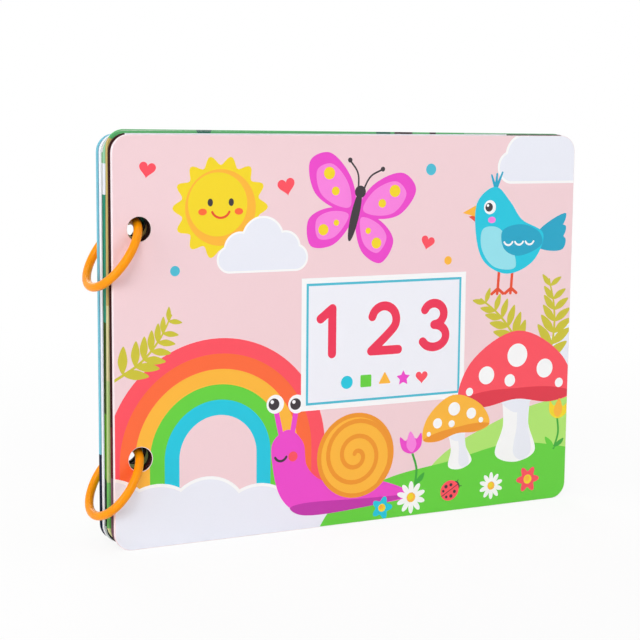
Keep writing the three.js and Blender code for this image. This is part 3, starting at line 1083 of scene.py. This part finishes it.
def spine_line(bands, start, end):
    """A line along the straight part of the spine, in a landscape's inks, each from its own height up."""
    low, high = board_corner, height - board_corner
    return [(rectangle(start, max(foot, low), end, high), ink) for ink, foot in bands if foot < high]


branches = [
    (stroke([(130, 168), (127, 152), (131, 136), (129, 118)], 9, 5), "bark_and_hole_shade"),
    (stroke([(142, 168), (141, 150), (131, 134)], 3.2, 2.4), "bark_and_hole_shade"),
]
woods = [
    *treetops(150, 216, 12, "mist green"),
    *treetops(17, 124, 12, "leaf green"),
    *treetops(137, 150, 8, "leaf green"),
    disc(39.3, 161, 3.4, "pine"),
    disc(118.5, 161, 3.6, "pine"),
    *branches,
]
front_pictures = {
    "page_1": treetops(20, 176, 12, "panel") + scattered(3, 30, [small_star, small_dot], 1.6, 3.4),
    "page_2": woods + scattered(4, 24, [small_leaf, flower(5, "white")], 2.4, 3.8),
    "page_3": scattered(5, 24, [daisy(), small_leaf], 3.0, 5.0),
    "page_4": spine_line(front_bands["page_3"], 0.6, 2.6)
    + scattered(6, 30, [small_heart, small_leaf, [disc(0, 0, 0.7, "amber")]], 2.0, 3.2),
    "back_cover": scattered(7, 26, [small_drop, small_dot], 1.6, 3.2),
}
print("outlines on the fronts inside:", sum(len(picture) for picture in front_pictures.values()))

# %% Large pictures on the backs
pink_tulip = tulip("magenta", "light magenta")
yellow_tulip = tulip("yellow", "amber")
back_pictures = {
    "front_cover": arranged(
        (rainbow("blush"), 105, 44, 66),
        (cloud(), 42, 40, 34),
        (cloud(), 168, 40, 34),
        (small_heart, 38, 122, 7, 14),
        (small_heart, 172, 122, 7, -14),
    ),
    "page_1": arranged(
        (mushroom("coral", "deep coral"), 74, 66, 44),
        (mushroom("amber", "deep amber"), 142, 48, 30),
        (pink_tulip, 184, 50, 26),
        (yellow_tulip, 24, 46, 24),
        (ladybird(), 110, 16, 8, 50),
    ),
    "page_2": arranged(
        (sun(), 178, 128, 20),
        (cloud(), 116, 132, 24),
        (fruit_tree("lime", "deep lime"), 62, 78, 56),
        (fruit_tree("pale lime", "lime"), 142, 60, 42),
        (daisy(), 26, 12, 7),
        (daisy(), 104, 14, 8),
    ),
    "page_3": arranged(
        (snail("orange", "deep orange", "cyan", "deep cyan"), 104, 58, 56),
        (cloud(), 40, 132, 26),
        (sprig(7), 186, 20, 60, -8),
        (sprig(7), 22, 20, 50, 10),
    ),
    "page_4": arranged(
        (bird("cyan", "deep cyan", "pale cyan"), 98, 78, 58),
        (cloud(), 172, 128, 28),
        (flower(6, "magenta"), 30, 24, 13),
        (flower(5, "orange"), 178, 26, 14),
    ),
    "back_cover": arranged(
        (sun(), 60, 108, 28),
        (cloud(), 158, 126, 32),
        (cloud(), 24, 138, 22),
        (butterfly("orange", "amber", "white"), 128, 84, 24, 12),
        (ladybird(), 66, 22, 11, 60),
        (flower(6, "coral"), 104, 22, 11),
        (daisy(), 136, 34, 11),
        (flower(5, "cyan"), 166, 20, 10),
        (pink_tulip, 188, 52, 26, -4),
        (yellow_tulip, 26, 50, 26, 5),
    ),
}
print("outlines on the backs:", sum(len(picture) for picture in back_pictures.values()))

# %% A whole page front
place_margin = 1.8
place_inks = {
    "page_1": "mauve",
    "page_2": "moss light",
    "page_3": "pale lime",
    "page_4": "light magenta",
    "back_cover": "panel",
}


def page_front(name):
    """The landscape, its pictures, and the place of each card."""
    grown = card_reach + place_margin
    places = [
        (card_outlines[shape] * grown + (across * width, up * height), place_inks[name])
        for shape, _, _, across, up in card_plan[name]
    ]
    return landscape(front_bands[name]) + front_pictures[name] + places


print("sides with their own picture:", 2 * len(leaf_names))

# %% [markdown]
# ## From outlines to a board
# A printed board is one closed plate. Boolean cuts and a bevel could make it, but they would leave no
# edge where two inks meet. Here its face is cut into triangles along every printed outline, so each
# triangle has one ink, and the same cut serves the back. The border of that cut is then carried along
# the edge profile, a quarter round, a straight wall and a quarter round, which closes the plate at its
# rim and in its holes. All of it is done on whole arrays.

# %% Cutting a face along its print
def counter_clockwise(outline):
    """The outline with its inside on the left: its signed area is made positive."""
    x, y = outline[:, 0], outline[:, 1]
    area = np.sum(x * np.roll(y, -1) - np.roll(x, -1) * y)
    return outline if area > 0 else outline[::-1]


def inset(outline, by):
    """Moves each point inwards along the mean normal of its two sides."""
    tiny = 1e-9
    ahead = np.roll(outline, -1, 0) - outline
    ahead /= np.maximum(np.linalg.norm(ahead, axis=1), tiny)[:, None]
    normal = np.stack([ahead[:, 1], -ahead[:, 0]], 1)
    normal = normal + np.roll(normal, 1, 0)
    normal /= np.maximum(np.linalg.norm(normal, axis=1), tiny)[:, None]
    return outline - by * normal


def cut_face(rim, holes, front, back):
    """Points and triangles of the plate between its rim and its holes.

    With them come the numbers of the outlines that are topmost over each triangle, front and back.
    """
    outlines = [counter_clockwise(o) for o in (rim, *holes, *(o for o, _ in front), *(o for o, _ in back))]
    sizes = [len(o) for o in outlines]
    starts = np.concatenate([[0], np.cumsum(sizes)])
    points = [Vector(p) for p in np.concatenate(outlines).tolist()]
    loops = [list(range(a, b)) for a, b in zip(starts[:-1], starts[1:])]
    weld = 1e-5
    corners, _, cells, _, _, inside = delaunay_2d_cdt(points, [], loops, 0, weld, True)
    corners = np.array([tuple(c) for c in corners])
    cells = np.array(cells)

    # Each triangle comes with the numbers of the outlines that it lies in. The rim is 0.
    owner = np.repeat(np.arange(len(cells)), [len(ids) for ids in inside])
    shape = np.concatenate([np.array(ids, int) for ids in inside])
    first = 1 + len(holes)
    last = first + len(front)
    kept = np.zeros(len(cells), bool)
    kept[owner[shape == 0]] = True
    kept[owner[(shape > 0) & (shape < first)]] = False

    # On each side the highest number was painted last.
    tops = []
    for low, high in ((first, last), (last, last + len(back))):
        top = np.full(len(cells), low)
        mine = (shape >= low) & (shape < high)
        np.maximum.at(top, owner[mine], shape[mine])
        tops.append(top[kept] - low)
    used, cells = np.unique(cells[kept], return_inverse=True)
    return corners[used], cells.reshape(-1, 3), tops[0], tops[1]


square_cells = cut_face(rectangle(0, 0, 2, 2), [], [(rectangle(-1, -1, 1, 3), "white")], [])[1]
print("a square with half of it printed is cut into", len(square_cells), "triangles")

# %% The border of a cut face
def border_of(flat, cells):
    """The border's sides, the triangle of each, the points on it and the outward normal of each point.

    A side is on the border if no second triangle has it, run the other way.
    """
    count = len(flat)
    sides = np.concatenate([cells[:, [0, 1]], cells[:, [1, 2]], cells[:, [2, 0]]])
    forward, backward = sides[:, 0] * count + sides[:, 1], sides[:, 1] * count + sides[:, 0]
    lonely = np.flatnonzero(~np.isin(forward, backward))
    border = sides[lonely]
    run = flat[border[:, 1]] - flat[border[:, 0]]
    run /= np.linalg.norm(run, axis=1)[:, None]
    outwards = np.stack([run[:, 1], -run[:, 0]], 1)
    normal = np.zeros_like(flat)
    np.add.at(normal, border[:, 0], outwards)
    np.add.at(normal, border[:, 1], outwards)
    on_border = np.unique(border)
    normal = normal[on_border] / np.linalg.norm(normal[on_border], axis=1)[:, None]
    return border, lonely % len(cells), on_border, normal


two_triangles = np.array([(0, 1, 2), (0, 2, 3)])
square_border = border_of(rectangle(0, 0, 1, 1), two_triangles)[0]
print("a square of two triangles has", len(square_border), "outer sides")

# %% Closing the plate
def edge_profile(thickness, arris, steps=3):
    """(outwards, height) from the front's face to the back's: a quarter round, a wall, a quarter round."""
    a = np.radians(np.linspace(0, 90, steps + 1))
    out, drop = arris * np.sin(a), arris * (1 - np.cos(a))
    rise = thickness / 2 - drop
    return np.concatenate([out, out[::-1]]), np.concatenate([rise, -rise[::-1]])


def closed_plate(flat, cells, thickness, arris):
    """Points and faces of a plate, the border's sides and the triangle beside each.

    The faces are the cut face, its copy on the back, and rows of quads along the border between them.
    """
    border, beside, on_border, normal = border_of(flat, cells)
    count = len(flat)
    out, rise = edge_profile(thickness, arris)
    between = flat[on_border][None] + out[1:-1, None, None] * normal[None]
    heights = np.broadcast_to(rise[1:-1, None, None], (*between.shape[:2], 1))
    walls = np.concatenate([between, heights], 2).reshape(-1, 3)
    top = np.c_[flat, np.full(count, thickness / 2)]
    bottom = np.c_[flat, np.full(count, -thickness / 2)]

    place_in_row = np.zeros(count, int)
    place_in_row[on_border] = np.arange(len(on_border))
    row_starts = 2 * count + len(on_border) * np.arange(len(between))
    rows = [border, *(first + place_in_row[border] for first in row_starts), border + count]
    upper = np.stack(rows[:-1]).reshape(-1, 2)
    lower = np.stack(rows[1:]).reshape(-1, 2)
    quads = np.stack([upper[:, 0], lower[:, 0], lower[:, 1], upper[:, 1]], 1)
    faces = cells.tolist() + (cells[:, ::-1] + count).tolist() + quads.tolist()
    return np.concatenate([top, bottom, walls]), faces, border, beside


print("an edge has", len(edge_profile(1.8, 0.25)[0]) - 1, "rows of faces")

# %% Painting the plate
# How far round a hole, in shares of its width, the walls get the painted shade.
hole_shade_reach = 0.6


def plate(name, rim, holes, thickness, arris, front, back, edge_ink, stand, materials):
    """One closed mesh of a printed board or card, with front and back as pictures about its middle.

    The function stand takes its points to the book. Without an edge ink, the front's print runs out over
    the cut, and the holes' walls are painted dark throughout as shade. With one, the whole edge has that
    ink, and of each hole only the straight wall is painted dark as shade.
    """
    grown = [inset(counter_clockwise(h), -arris) for h in holes]
    flat, cells, front_top, back_top = cut_face(inset(counter_clockwise(rim), arris), grown, front, back)
    points, faces, border, beside = closed_plate(flat, cells, thickness, arris)
    mesh = bpy.data.meshes.new(name)
    mesh.from_pydata(stand(points).tolist(), [], faces)
    triangles = 2 * len(cells)
    quads = len(faces) - triangles
    rows = quads // len(border)

    # Every face gets one colour, at all of its corners.
    front_inks = np.array([linear(INKS[ink]) for _, ink in front])[front_top]
    back_inks = np.array([linear(INKS[ink]) for _, ink in back])[back_top]
    edge_inks = front_inks[beside] if edge_ink is None else linear(INKS[edge_ink])
    wall_inks = np.broadcast_to(edge_inks, (rows, len(border), 3)).copy()
    # Rows of wall that get painted shade in a hole: all of them on a page, only the straight middle one on
    # the cover.
    hole_shade_rows = slice(None) if edge_ink is None else slice(rows // 2, rows // 2 + 1)

    # Painted shade: the walls in each hole take a dark ink that stands in for the shade deep inside a hole.
    # A side of the border belongs to a hole if it starts within 0.6 of its width from its middle.
    for hole in holes:
        away = np.linalg.norm(flat[border[:, 0]] - hole.mean(0), axis=1)
        wall_inks[hole_shade_rows, away < hole_shade_reach * np.ptp(hole[:, 0])] = linear(INKS["bark_and_hole_shade"])
    inks = np.concatenate([front_inks, back_inks, wall_inks.reshape(-1, 3)])
    paint = np.repeat(np.c_[inks, np.ones(len(inks))], [3] * triangles + [4] * quads, axis=0)
    attribute = mesh.color_attributes.new("print", "FLOAT_COLOR", "CORNER")
    attribute.data.foreach_set("color", paint.astype(np.float32).ravel())
    is_wall = np.arange(len(faces)) >= triangles
    mesh.polygons.foreach_set("material_index", is_wall.astype(np.int32))
    mesh.polygons.foreach_set("use_smooth", is_wall)
    mesh.update()
    for material in materials:
        mesh.materials.append(material)
    return add_object(name, mesh)


# The dark ink inside the punched holes is painted shade.
print("punched holes are inked", INKS["bark_and_hole_shade"], "inside")

# %% [markdown]
# ## The six boards
# The boards are grey board with printed paper on both sides, cut by one die. A printed board could have
# its measures written down again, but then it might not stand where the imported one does. So its middle
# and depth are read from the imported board's box. Only one board is known to lean: the second page, which
# sits high and a third of a degree out of square, as the photograph shows above the cover.

# %% Boards
hole_radius = 4.75
hole_inset = 10.6
hole_spacing = 88.8
board_arris = 0.25
leaf_turns = {"page_2": math.radians(-0.33)}


def lie_of(name):
    """A function that takes points from a board's own frame, in millimetres, to the book's, in metres."""
    low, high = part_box(name)
    middle = (low + high) / 2
    c, s = math.cos(leaf_turns.get(name, 0.0)), math.sin(leaf_turns.get(name, 0.0))

    def stand(points):
        x, y, z = points.T * MM
        return np.stack([middle.x + x * c - y * s, middle.y - z, middle.z + x * s + y * c], 1)

    return stand


def about_middle(side, mirror=(1, 1)):
    """Moves a picture from the lower left corner to the board's middle, and mirrors it for a back."""
    return [((outline - (width / 2, height / 2)) * mirror, ink) for outline, ink in side]


board_rim = rounded_rectangle(width, height, board_corner)
hole_x = hole_inset - width / 2
board_holes = [oval(hole_x, side * hole_spacing / 2, hole_radius, steps=64) for side in (1, -1)]
for leaf_name in leaf_names:
    is_cover = leaf_name == "front_cover"
    front_side = cover_front() if is_cover else page_front(leaf_name)
    back_side = landscape(back_bands[leaf_name]) + back_pictures[leaf_name]
    low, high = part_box(leaf_name)
    film = printed_film(
        leaf_name + "_film",
        (low + high) / 2,
        ((width / 2 - board_corner) * MM, 1.0, (height / 2 - board_corner) * MM),
        board_corner * MM,
    )
    board = plate(
        leaf_name + "_printed",
        board_rim,
        board_holes,
        board_size.y,
        board_arris,
        about_middle(front_side),
        about_middle(back_side, (-1, 1)),
        "pale blush" if is_cover else None,
        lie_of(leaf_name),
        [film, cut_edge],
    )
    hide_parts(leaf_name)
    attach(board, leaf_name)
    print(leaf_name, "has", len(board.data.polygons), "faces")

# %% [markdown]
# ## The picture cards
# Fifteen cards lie inside on their dots. Each is a thin plate of its own outline, with a white border
# as a die leaves it, a field in two inks and a face or marks that suit it. Their pictures could be drawn
# one by one, but the border and the field are only the outline again, drawn in by a share.

# %% Card pictures
def small_face(x, y, size):
    """Two eyes with a glint, two cheeks and a smile."""
    made = [bow(0, -0.02, 0.2, 0.05)]
    for side in (-1, 1):
        made.append(disc(side * 0.3, 0.12, 0.09, "dark", 0.12))
        made.append(disc(side * 0.3 + 0.03, 0.17, 0.03, "white"))
        made.append(disc(side * 0.55, -0.1, 0.12, "blush", 0.08))
    return placed(made, x, y, size)


mushroom_spots = ((-0.5, 0.3, 0.1), (0, 0.5, 0.13), (0.5, 0.3, 0.1))
wing_spots = ((0.6, 0.45, 0.13), (0.5, -0.35, 0.1))
leaf_veins = [[(0, 0.23 * k - 0.4), (side * 0.28, 0.23 * k - 0.16)] for k in range(4) for side in (-1, 1)]
card_marks = {
    "mushroom": [disc(x, y, r, "white") for x, y, r in mushroom_spots],
    "butterfly": [disc(0, -0.04, 0.07, "dark", 0.5)]
    + [disc(side * x, y, r, "yellow") for x, y, r in wing_spots for side in (-1, 1)],
    "leaf": [(stroke([(0, -0.9), (0, 0.9)], 0.04), "pale lime")]
    + [(stroke(vein, 0.032), "pale lime") for vein in leaf_veins],
    "flower": [disc(0, 0, 0.36, "yellow"), *small_face(0, 0, 0.41)],
    "moon": [disc(-0.68, y, 0.064, "white") for y in (-0.27, 0, 0.27)],
}
bleed_share = 1.2
border_share = 0.93
field_share = 0.8


def card_picture(shape, ink, field_ink):
    """White past the card's edge, the outline drawn in by a border, once more as a field, and the marks."""
    outline = card_outlines[shape]
    shares = ((bleed_share, "white"), (border_share, ink), (field_share, field_ink))
    grounds = [(outline * share, paint) for share, paint in shares]
    return placed(grounds + card_marks.get(shape, small_face(0, -0.05, 0.6)), 0, 0, card_reach)


print("cards with marks of their own:", ", ".join(card_marks))

# %% Cards
card_arris = 0.08
for leaf_name, cards in card_plan.items():
    stand_on_leaf = lie_of(leaf_name)
    for shape, ink, field_ink, across, up in cards:
        card_name = shape + "_card"
        low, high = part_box(card_name)
        card_thickness = (high.y - low.y) / MM
        leaf_low, leaf_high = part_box(leaf_name)
        rise = ((leaf_low.y + leaf_high.y) - (low.y + high.y)) / 2 / MM
        offset = np.array([(across - 0.5) * width, (up - 0.5) * height, rise])
        film = printed_film(shape + "_card_film", (low + high) / 2, (1.0, 1.0, 1.0), 1.0)
        card = plate(
            card_name + "_printed",
            card_outlines[shape] * card_reach,
            [],
            card_thickness,
            card_arris,
            card_picture(shape, ink, field_ink),
            [(card_outlines[shape] * card_reach * bleed_share, "cloud")],
            "white",
            lambda points: stand_on_leaf(points + offset),
            [film, cut_edge],
        )
        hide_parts(card_name)
        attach(card, leaf_name)
print("cards printed:", sum(len(cards) for cards in card_plan.values()))

# %% [markdown]
# ## Snap rings
# Each ring is moulded in one piece: a round rod bent to a circle, with a barbed pin on one end that
# snaps into a socket in the other. A torus with its ends worked by booleans could give it. A turned
# profile carried round a circle is simpler, and gives socket, rod and pin as one closed mesh.

# %% Ring sizes
rod_radius = 1.7
ring_radius = 14.9739
ring_droop = math.radians(55.97)
ring_yaw = math.radians(3.994)
ring_roll = math.radians(1.902)
clasp_angle = math.radians(78)
mouth_gap = 0.3
pin_radius = 0.6
pin_length = 4.6
barb_radius = 0.95
barb_length = 1.5
pin_fit = 0.3
mouth_bevel = 0.12
end_round = 0.25
flash_height = 0.03
flash_width = 0.09
sharp_corner = math.radians(35)

# Halfway through the stack, a rod lies this far from the middle of its hole, in shares of its play.
rod_lean = np.array([0.204, -0.0798, 0.8867])
hole_play = hole_radius - rod_radius
rod_place = np.array([hole_x, 0, 0]) + hole_play * rod_lean
print("rings:", 2 * ring_radius, "mm across a rod of", 2 * rod_radius, "mm")

# %% Ring mesh
def quarter(radius, fillet, start, towards):
    """Quarter round between a rod's end face and its side: (radius, length) points."""
    a = np.radians(np.linspace(0, 90, 5))
    return np.stack([radius - fillet * (1 - np.sin(a)), start + towards * fillet * (1 - np.cos(a))], 1)


def ring_profile(stations=180):
    """(radius, length) from the socket's bottom, out of its mouth, along the rod and over the pin."""
    rod_length = FULL_TURN * ring_radius - mouth_gap
    tip = pin_length - mouth_gap
    barb_start = tip - barb_length
    socket = np.array([
        (0, tip + pin_fit),
        (pin_radius + pin_fit, tip + pin_fit),
        (barb_radius + pin_fit, tip - barb_length / 2 + pin_fit),
        (barb_radius + pin_fit, barb_start - pin_fit),
        (pin_radius + pin_fit, barb_start - pin_fit),
        (pin_radius + pin_fit, mouth_bevel),
        (pin_radius + pin_fit + mouth_bevel, 0),
    ])
    near = quarter(rod_radius, end_round, 0, 1)
    far = quarter(rod_radius, end_round, rod_length, -1)[::-1]
    lengths = np.linspace(end_round, rod_length - end_round, stations + 1)[1:-1]
    rod = np.stack([np.full(len(lengths), rod_radius), lengths], 1)
    pin = np.array([
        (pin_radius, 0),
        (pin_radius, pin_length - barb_length),
        (barb_radius, pin_length - barb_length),
        (barb_radius, pin_length - barb_length / 2),
        (pin_radius / 2, pin_length),
        (0, pin_length),
    ]) + (0, rod_length)
    return np.concatenate([socket, near, rod, far, pin])


def ring_mesh(name, centre, turn, sides=40):
    """The profile (r, l) turned about the rod, and the rod carried round the ring's circle.

    A point is ((R + r cos v) cos u, (R + r cos v) sin u, r sin v), with u = clasp angle + l / R. Where
    the mould closes, at sin v = 0, a faint ridge f exp(-(sin v / w)^2) is added to the rod's own r.
    """
    profile = ring_profile()
    v = np.linspace(0, FULL_TURN, sides, endpoint=False)
    radius, length = profile[1:-1, 0][:, None], profile[1:-1, 1][:, None]
    ridge = flash_height * np.exp(-((np.sin(v)[None, :] / flash_width) ** 2))
    on_side = radius >= rod_radius
    swept = radius + np.where(on_side, ridge, 0)
    out, depth = ring_radius + swept * np.cos(v)[None, :], swept * np.sin(v)[None, :]
    u = clasp_angle + length / ring_radius
    grid = np.stack([out * np.cos(u), out * np.sin(u), depth], 2).reshape(-1, 3)
    end_u = clasp_angle + profile[[0, -1], 1] / ring_radius
    ends = np.stack([ring_radius * np.cos(end_u), ring_radius * np.sin(end_u), 0 * end_u], 1)
    points = np.concatenate([grid, ends])

    rows, k = len(radius), np.arange(sides)
    here = np.arange(rows - 1)[:, None] * sides + k
    there = np.arange(rows - 1)[:, None] * sides + (k + 1) % sides
    quads = np.stack([here, here + sides, there + sides, there], 2).reshape(-1, 4)
    first = np.stack([np.full(sides, len(grid)), k, (k + 1) % sides], 1)
    last_row = (rows - 1) * sides
    last = np.stack([last_row + (k + 1) % sides, last_row + k, np.full(sides, len(grid) + 1)], 1)
    placed_points = (points @ turn.T + centre) * MM
    mesh = bpy.data.meshes.new(name)
    mesh.from_pydata(placed_points.tolist(), [], quads.tolist() + first.tolist() + last.tolist())
    mesh.polygons.foreach_set("use_smooth", np.ones(len(mesh.polygons), bool))
    mesh.update()
    mesh.set_sharp_from_angle(angle=sharp_corner)
    return mesh


print("a ring's profile has", len(ring_profile()), "points")

# %% [markdown]
# ### Moulded plastic
# The rings are polypropylene: glossy, coloured through, with faint marks where it flowed into the mould
# and a soft unevenness in the gloss. One flat colour would do from far off, but near by it looks like
# paint. So a noise of some millimetres shifts the colour, and the film group is used again for the
# gloss, with less relief. A little light goes in and comes out again beside where it went in.

# %% Ring plastic
flow_scale = 130.0
flow_tints = (0.93, 1.05)
ring_orange = (250, 151, 0)


def two_tone(tree, value, ends, colours):
    """A ramp from one linear colour to another as a value goes from one end to the other."""
    ramp = wire(tree, "ValToRGB", {0: value})
    for stop, place, colour in zip(ramp.color_ramp.elements, ends, colours):
        stop.position = place
        stop.color = (*np.minimum(colour, 1), 1)
    return ramp.outputs[0]


def moulded_plastic(name, ink, roughness):
    """Glossy plastic coloured through, with flow marks in the colour and a soft unevenness in the gloss."""
    material, tree = new_material(name)
    spot = wire(tree, "TexCoord").outputs["Object"]
    relief = {"Place": spot, "Fibre": 0.000004, "Wave": 0.00002, "Gloss": roughness}
    surface = place_group(tree, film_group, relief)
    flow = noise(tree, spot, flow_scale, 3.0, 0.55)
    finish = {
        "Base Color": two_tone(tree, flow, noise_middle, [linear(ink) * tint for tint in flow_tints]),
        "Roughness": surface["Roughness"],
        "Normal": bumped(tree, surface["Height"], 0.5),
        "Subsurface Weight": 0.08,
        "Subsurface Radius": (1.0, 0.35, 0.02),
        "Subsurface Scale": 0.001,
        "IOR": 1.4,
        "Specular IOR Level": 0.25,
    }
    finish_material(tree, wire(tree, "BsdfPrincipled", finish))
    return material


ring_plastic = moulded_plastic("ring_plastic", ring_orange, 0.3)
print("finish made:", ring_plastic.name)

# %% Rings in place
stack_middle = ((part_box("front_cover")[0].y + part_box("back_cover")[1].y) / 2) / MM
yaw_and_roll = Matrix.Rotation(ring_yaw, 3, "Z") @ Matrix.Rotation(ring_roll, 3, "X")
ring_turn = np.array(yaw_and_roll @ Matrix.Rotation(-ring_droop, 3, "Y"))
for ring_name, side in (("upper_ring", 1), ("lower_ring", -1)):
    hole_height = height / 2 + side * hole_spacing / 2
    rod_at = rod_place + np.array([0, stack_middle, hole_height])
    centre = rod_at - ring_radius * ring_turn[:, 0]
    made_name = ring_name + "_moulded"
    ring = add_object(made_name, ring_mesh(made_name, centre, ring_turn))
    ring.data.materials.append(ring_plastic)
    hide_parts(ring_name)
    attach(ring, ring_name)
    low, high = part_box(ring_name)
    made = np.array([v.co for v in ring.data.vertices])
    past = [np.round((made.min(0) - low) / MM, 2), np.round((made.max(0) - high) / MM, 2)]
    print(ring_name, "differs from the packed ring's box by", *past, "mm")

# %% [markdown]
# ## Hook and loop tape
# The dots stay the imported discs. Loop tape is a mat of fine curled threads, hook tape is a close field of
# stiff little hooks. Threads and hooks could be modelled one by one, at the cost of far more faces than
# the rest of the book. They are well under a millimetre high, so a bump shows them well enough: a noise
# for threads, with a pattern of small cells for hooks and loops.

# %% Tape
cell_share = 0.6
tape_height = 0.0002
tape_ends = (0.35, 0.95)
hollow_shade = 0.72


def tape(name, ink, thread_scale, cell_scale):
    """Off-white tape: a bump of threads and cells over a colour that is darker in the hollows."""
    material, tree = new_material(name)
    spot = wire(tree, "TexCoord").outputs["Object"]
    threads = noise(tree, spot, thread_scale, 5.0, 0.75)
    crowd = {"Vector": spot, "Scale": cell_scale}
    cells = wire(tree, "TexVoronoi", crowd, feature="F1").outputs["Distance"]
    mixed = arithmetic(tree, "MULTIPLY_ADD", cells, cell_share, threads)
    finish = {
        "Base Color": two_tone(tree, mixed, tape_ends, (linear(ink) * hollow_shade, linear(ink))),
        "Roughness": 0.95,
        "Normal": bumped(tree, arithmetic(tree, "MULTIPLY", mixed, tape_height), 0.9),
        "Sheen Weight": 0.3,
    }
    finish_material(tree, wire(tree, "BsdfPrincipled", finish))
    return material


tapes = {
    "loop": tape("loop_tape", (238, 238, 230), 5200.0, 1500.0),
    "hook": tape("hook_tape", (246, 246, 242), 2600.0, 1900.0),
}
for node_name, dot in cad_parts.items():
    for kind, finish in tapes.items():
        if node_name.endswith(kind + "_dot"):
            for material_slot in dot.material_slots:
                material_slot.material = finish
print("dots:", sum(name.endswith("_dot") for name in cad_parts))
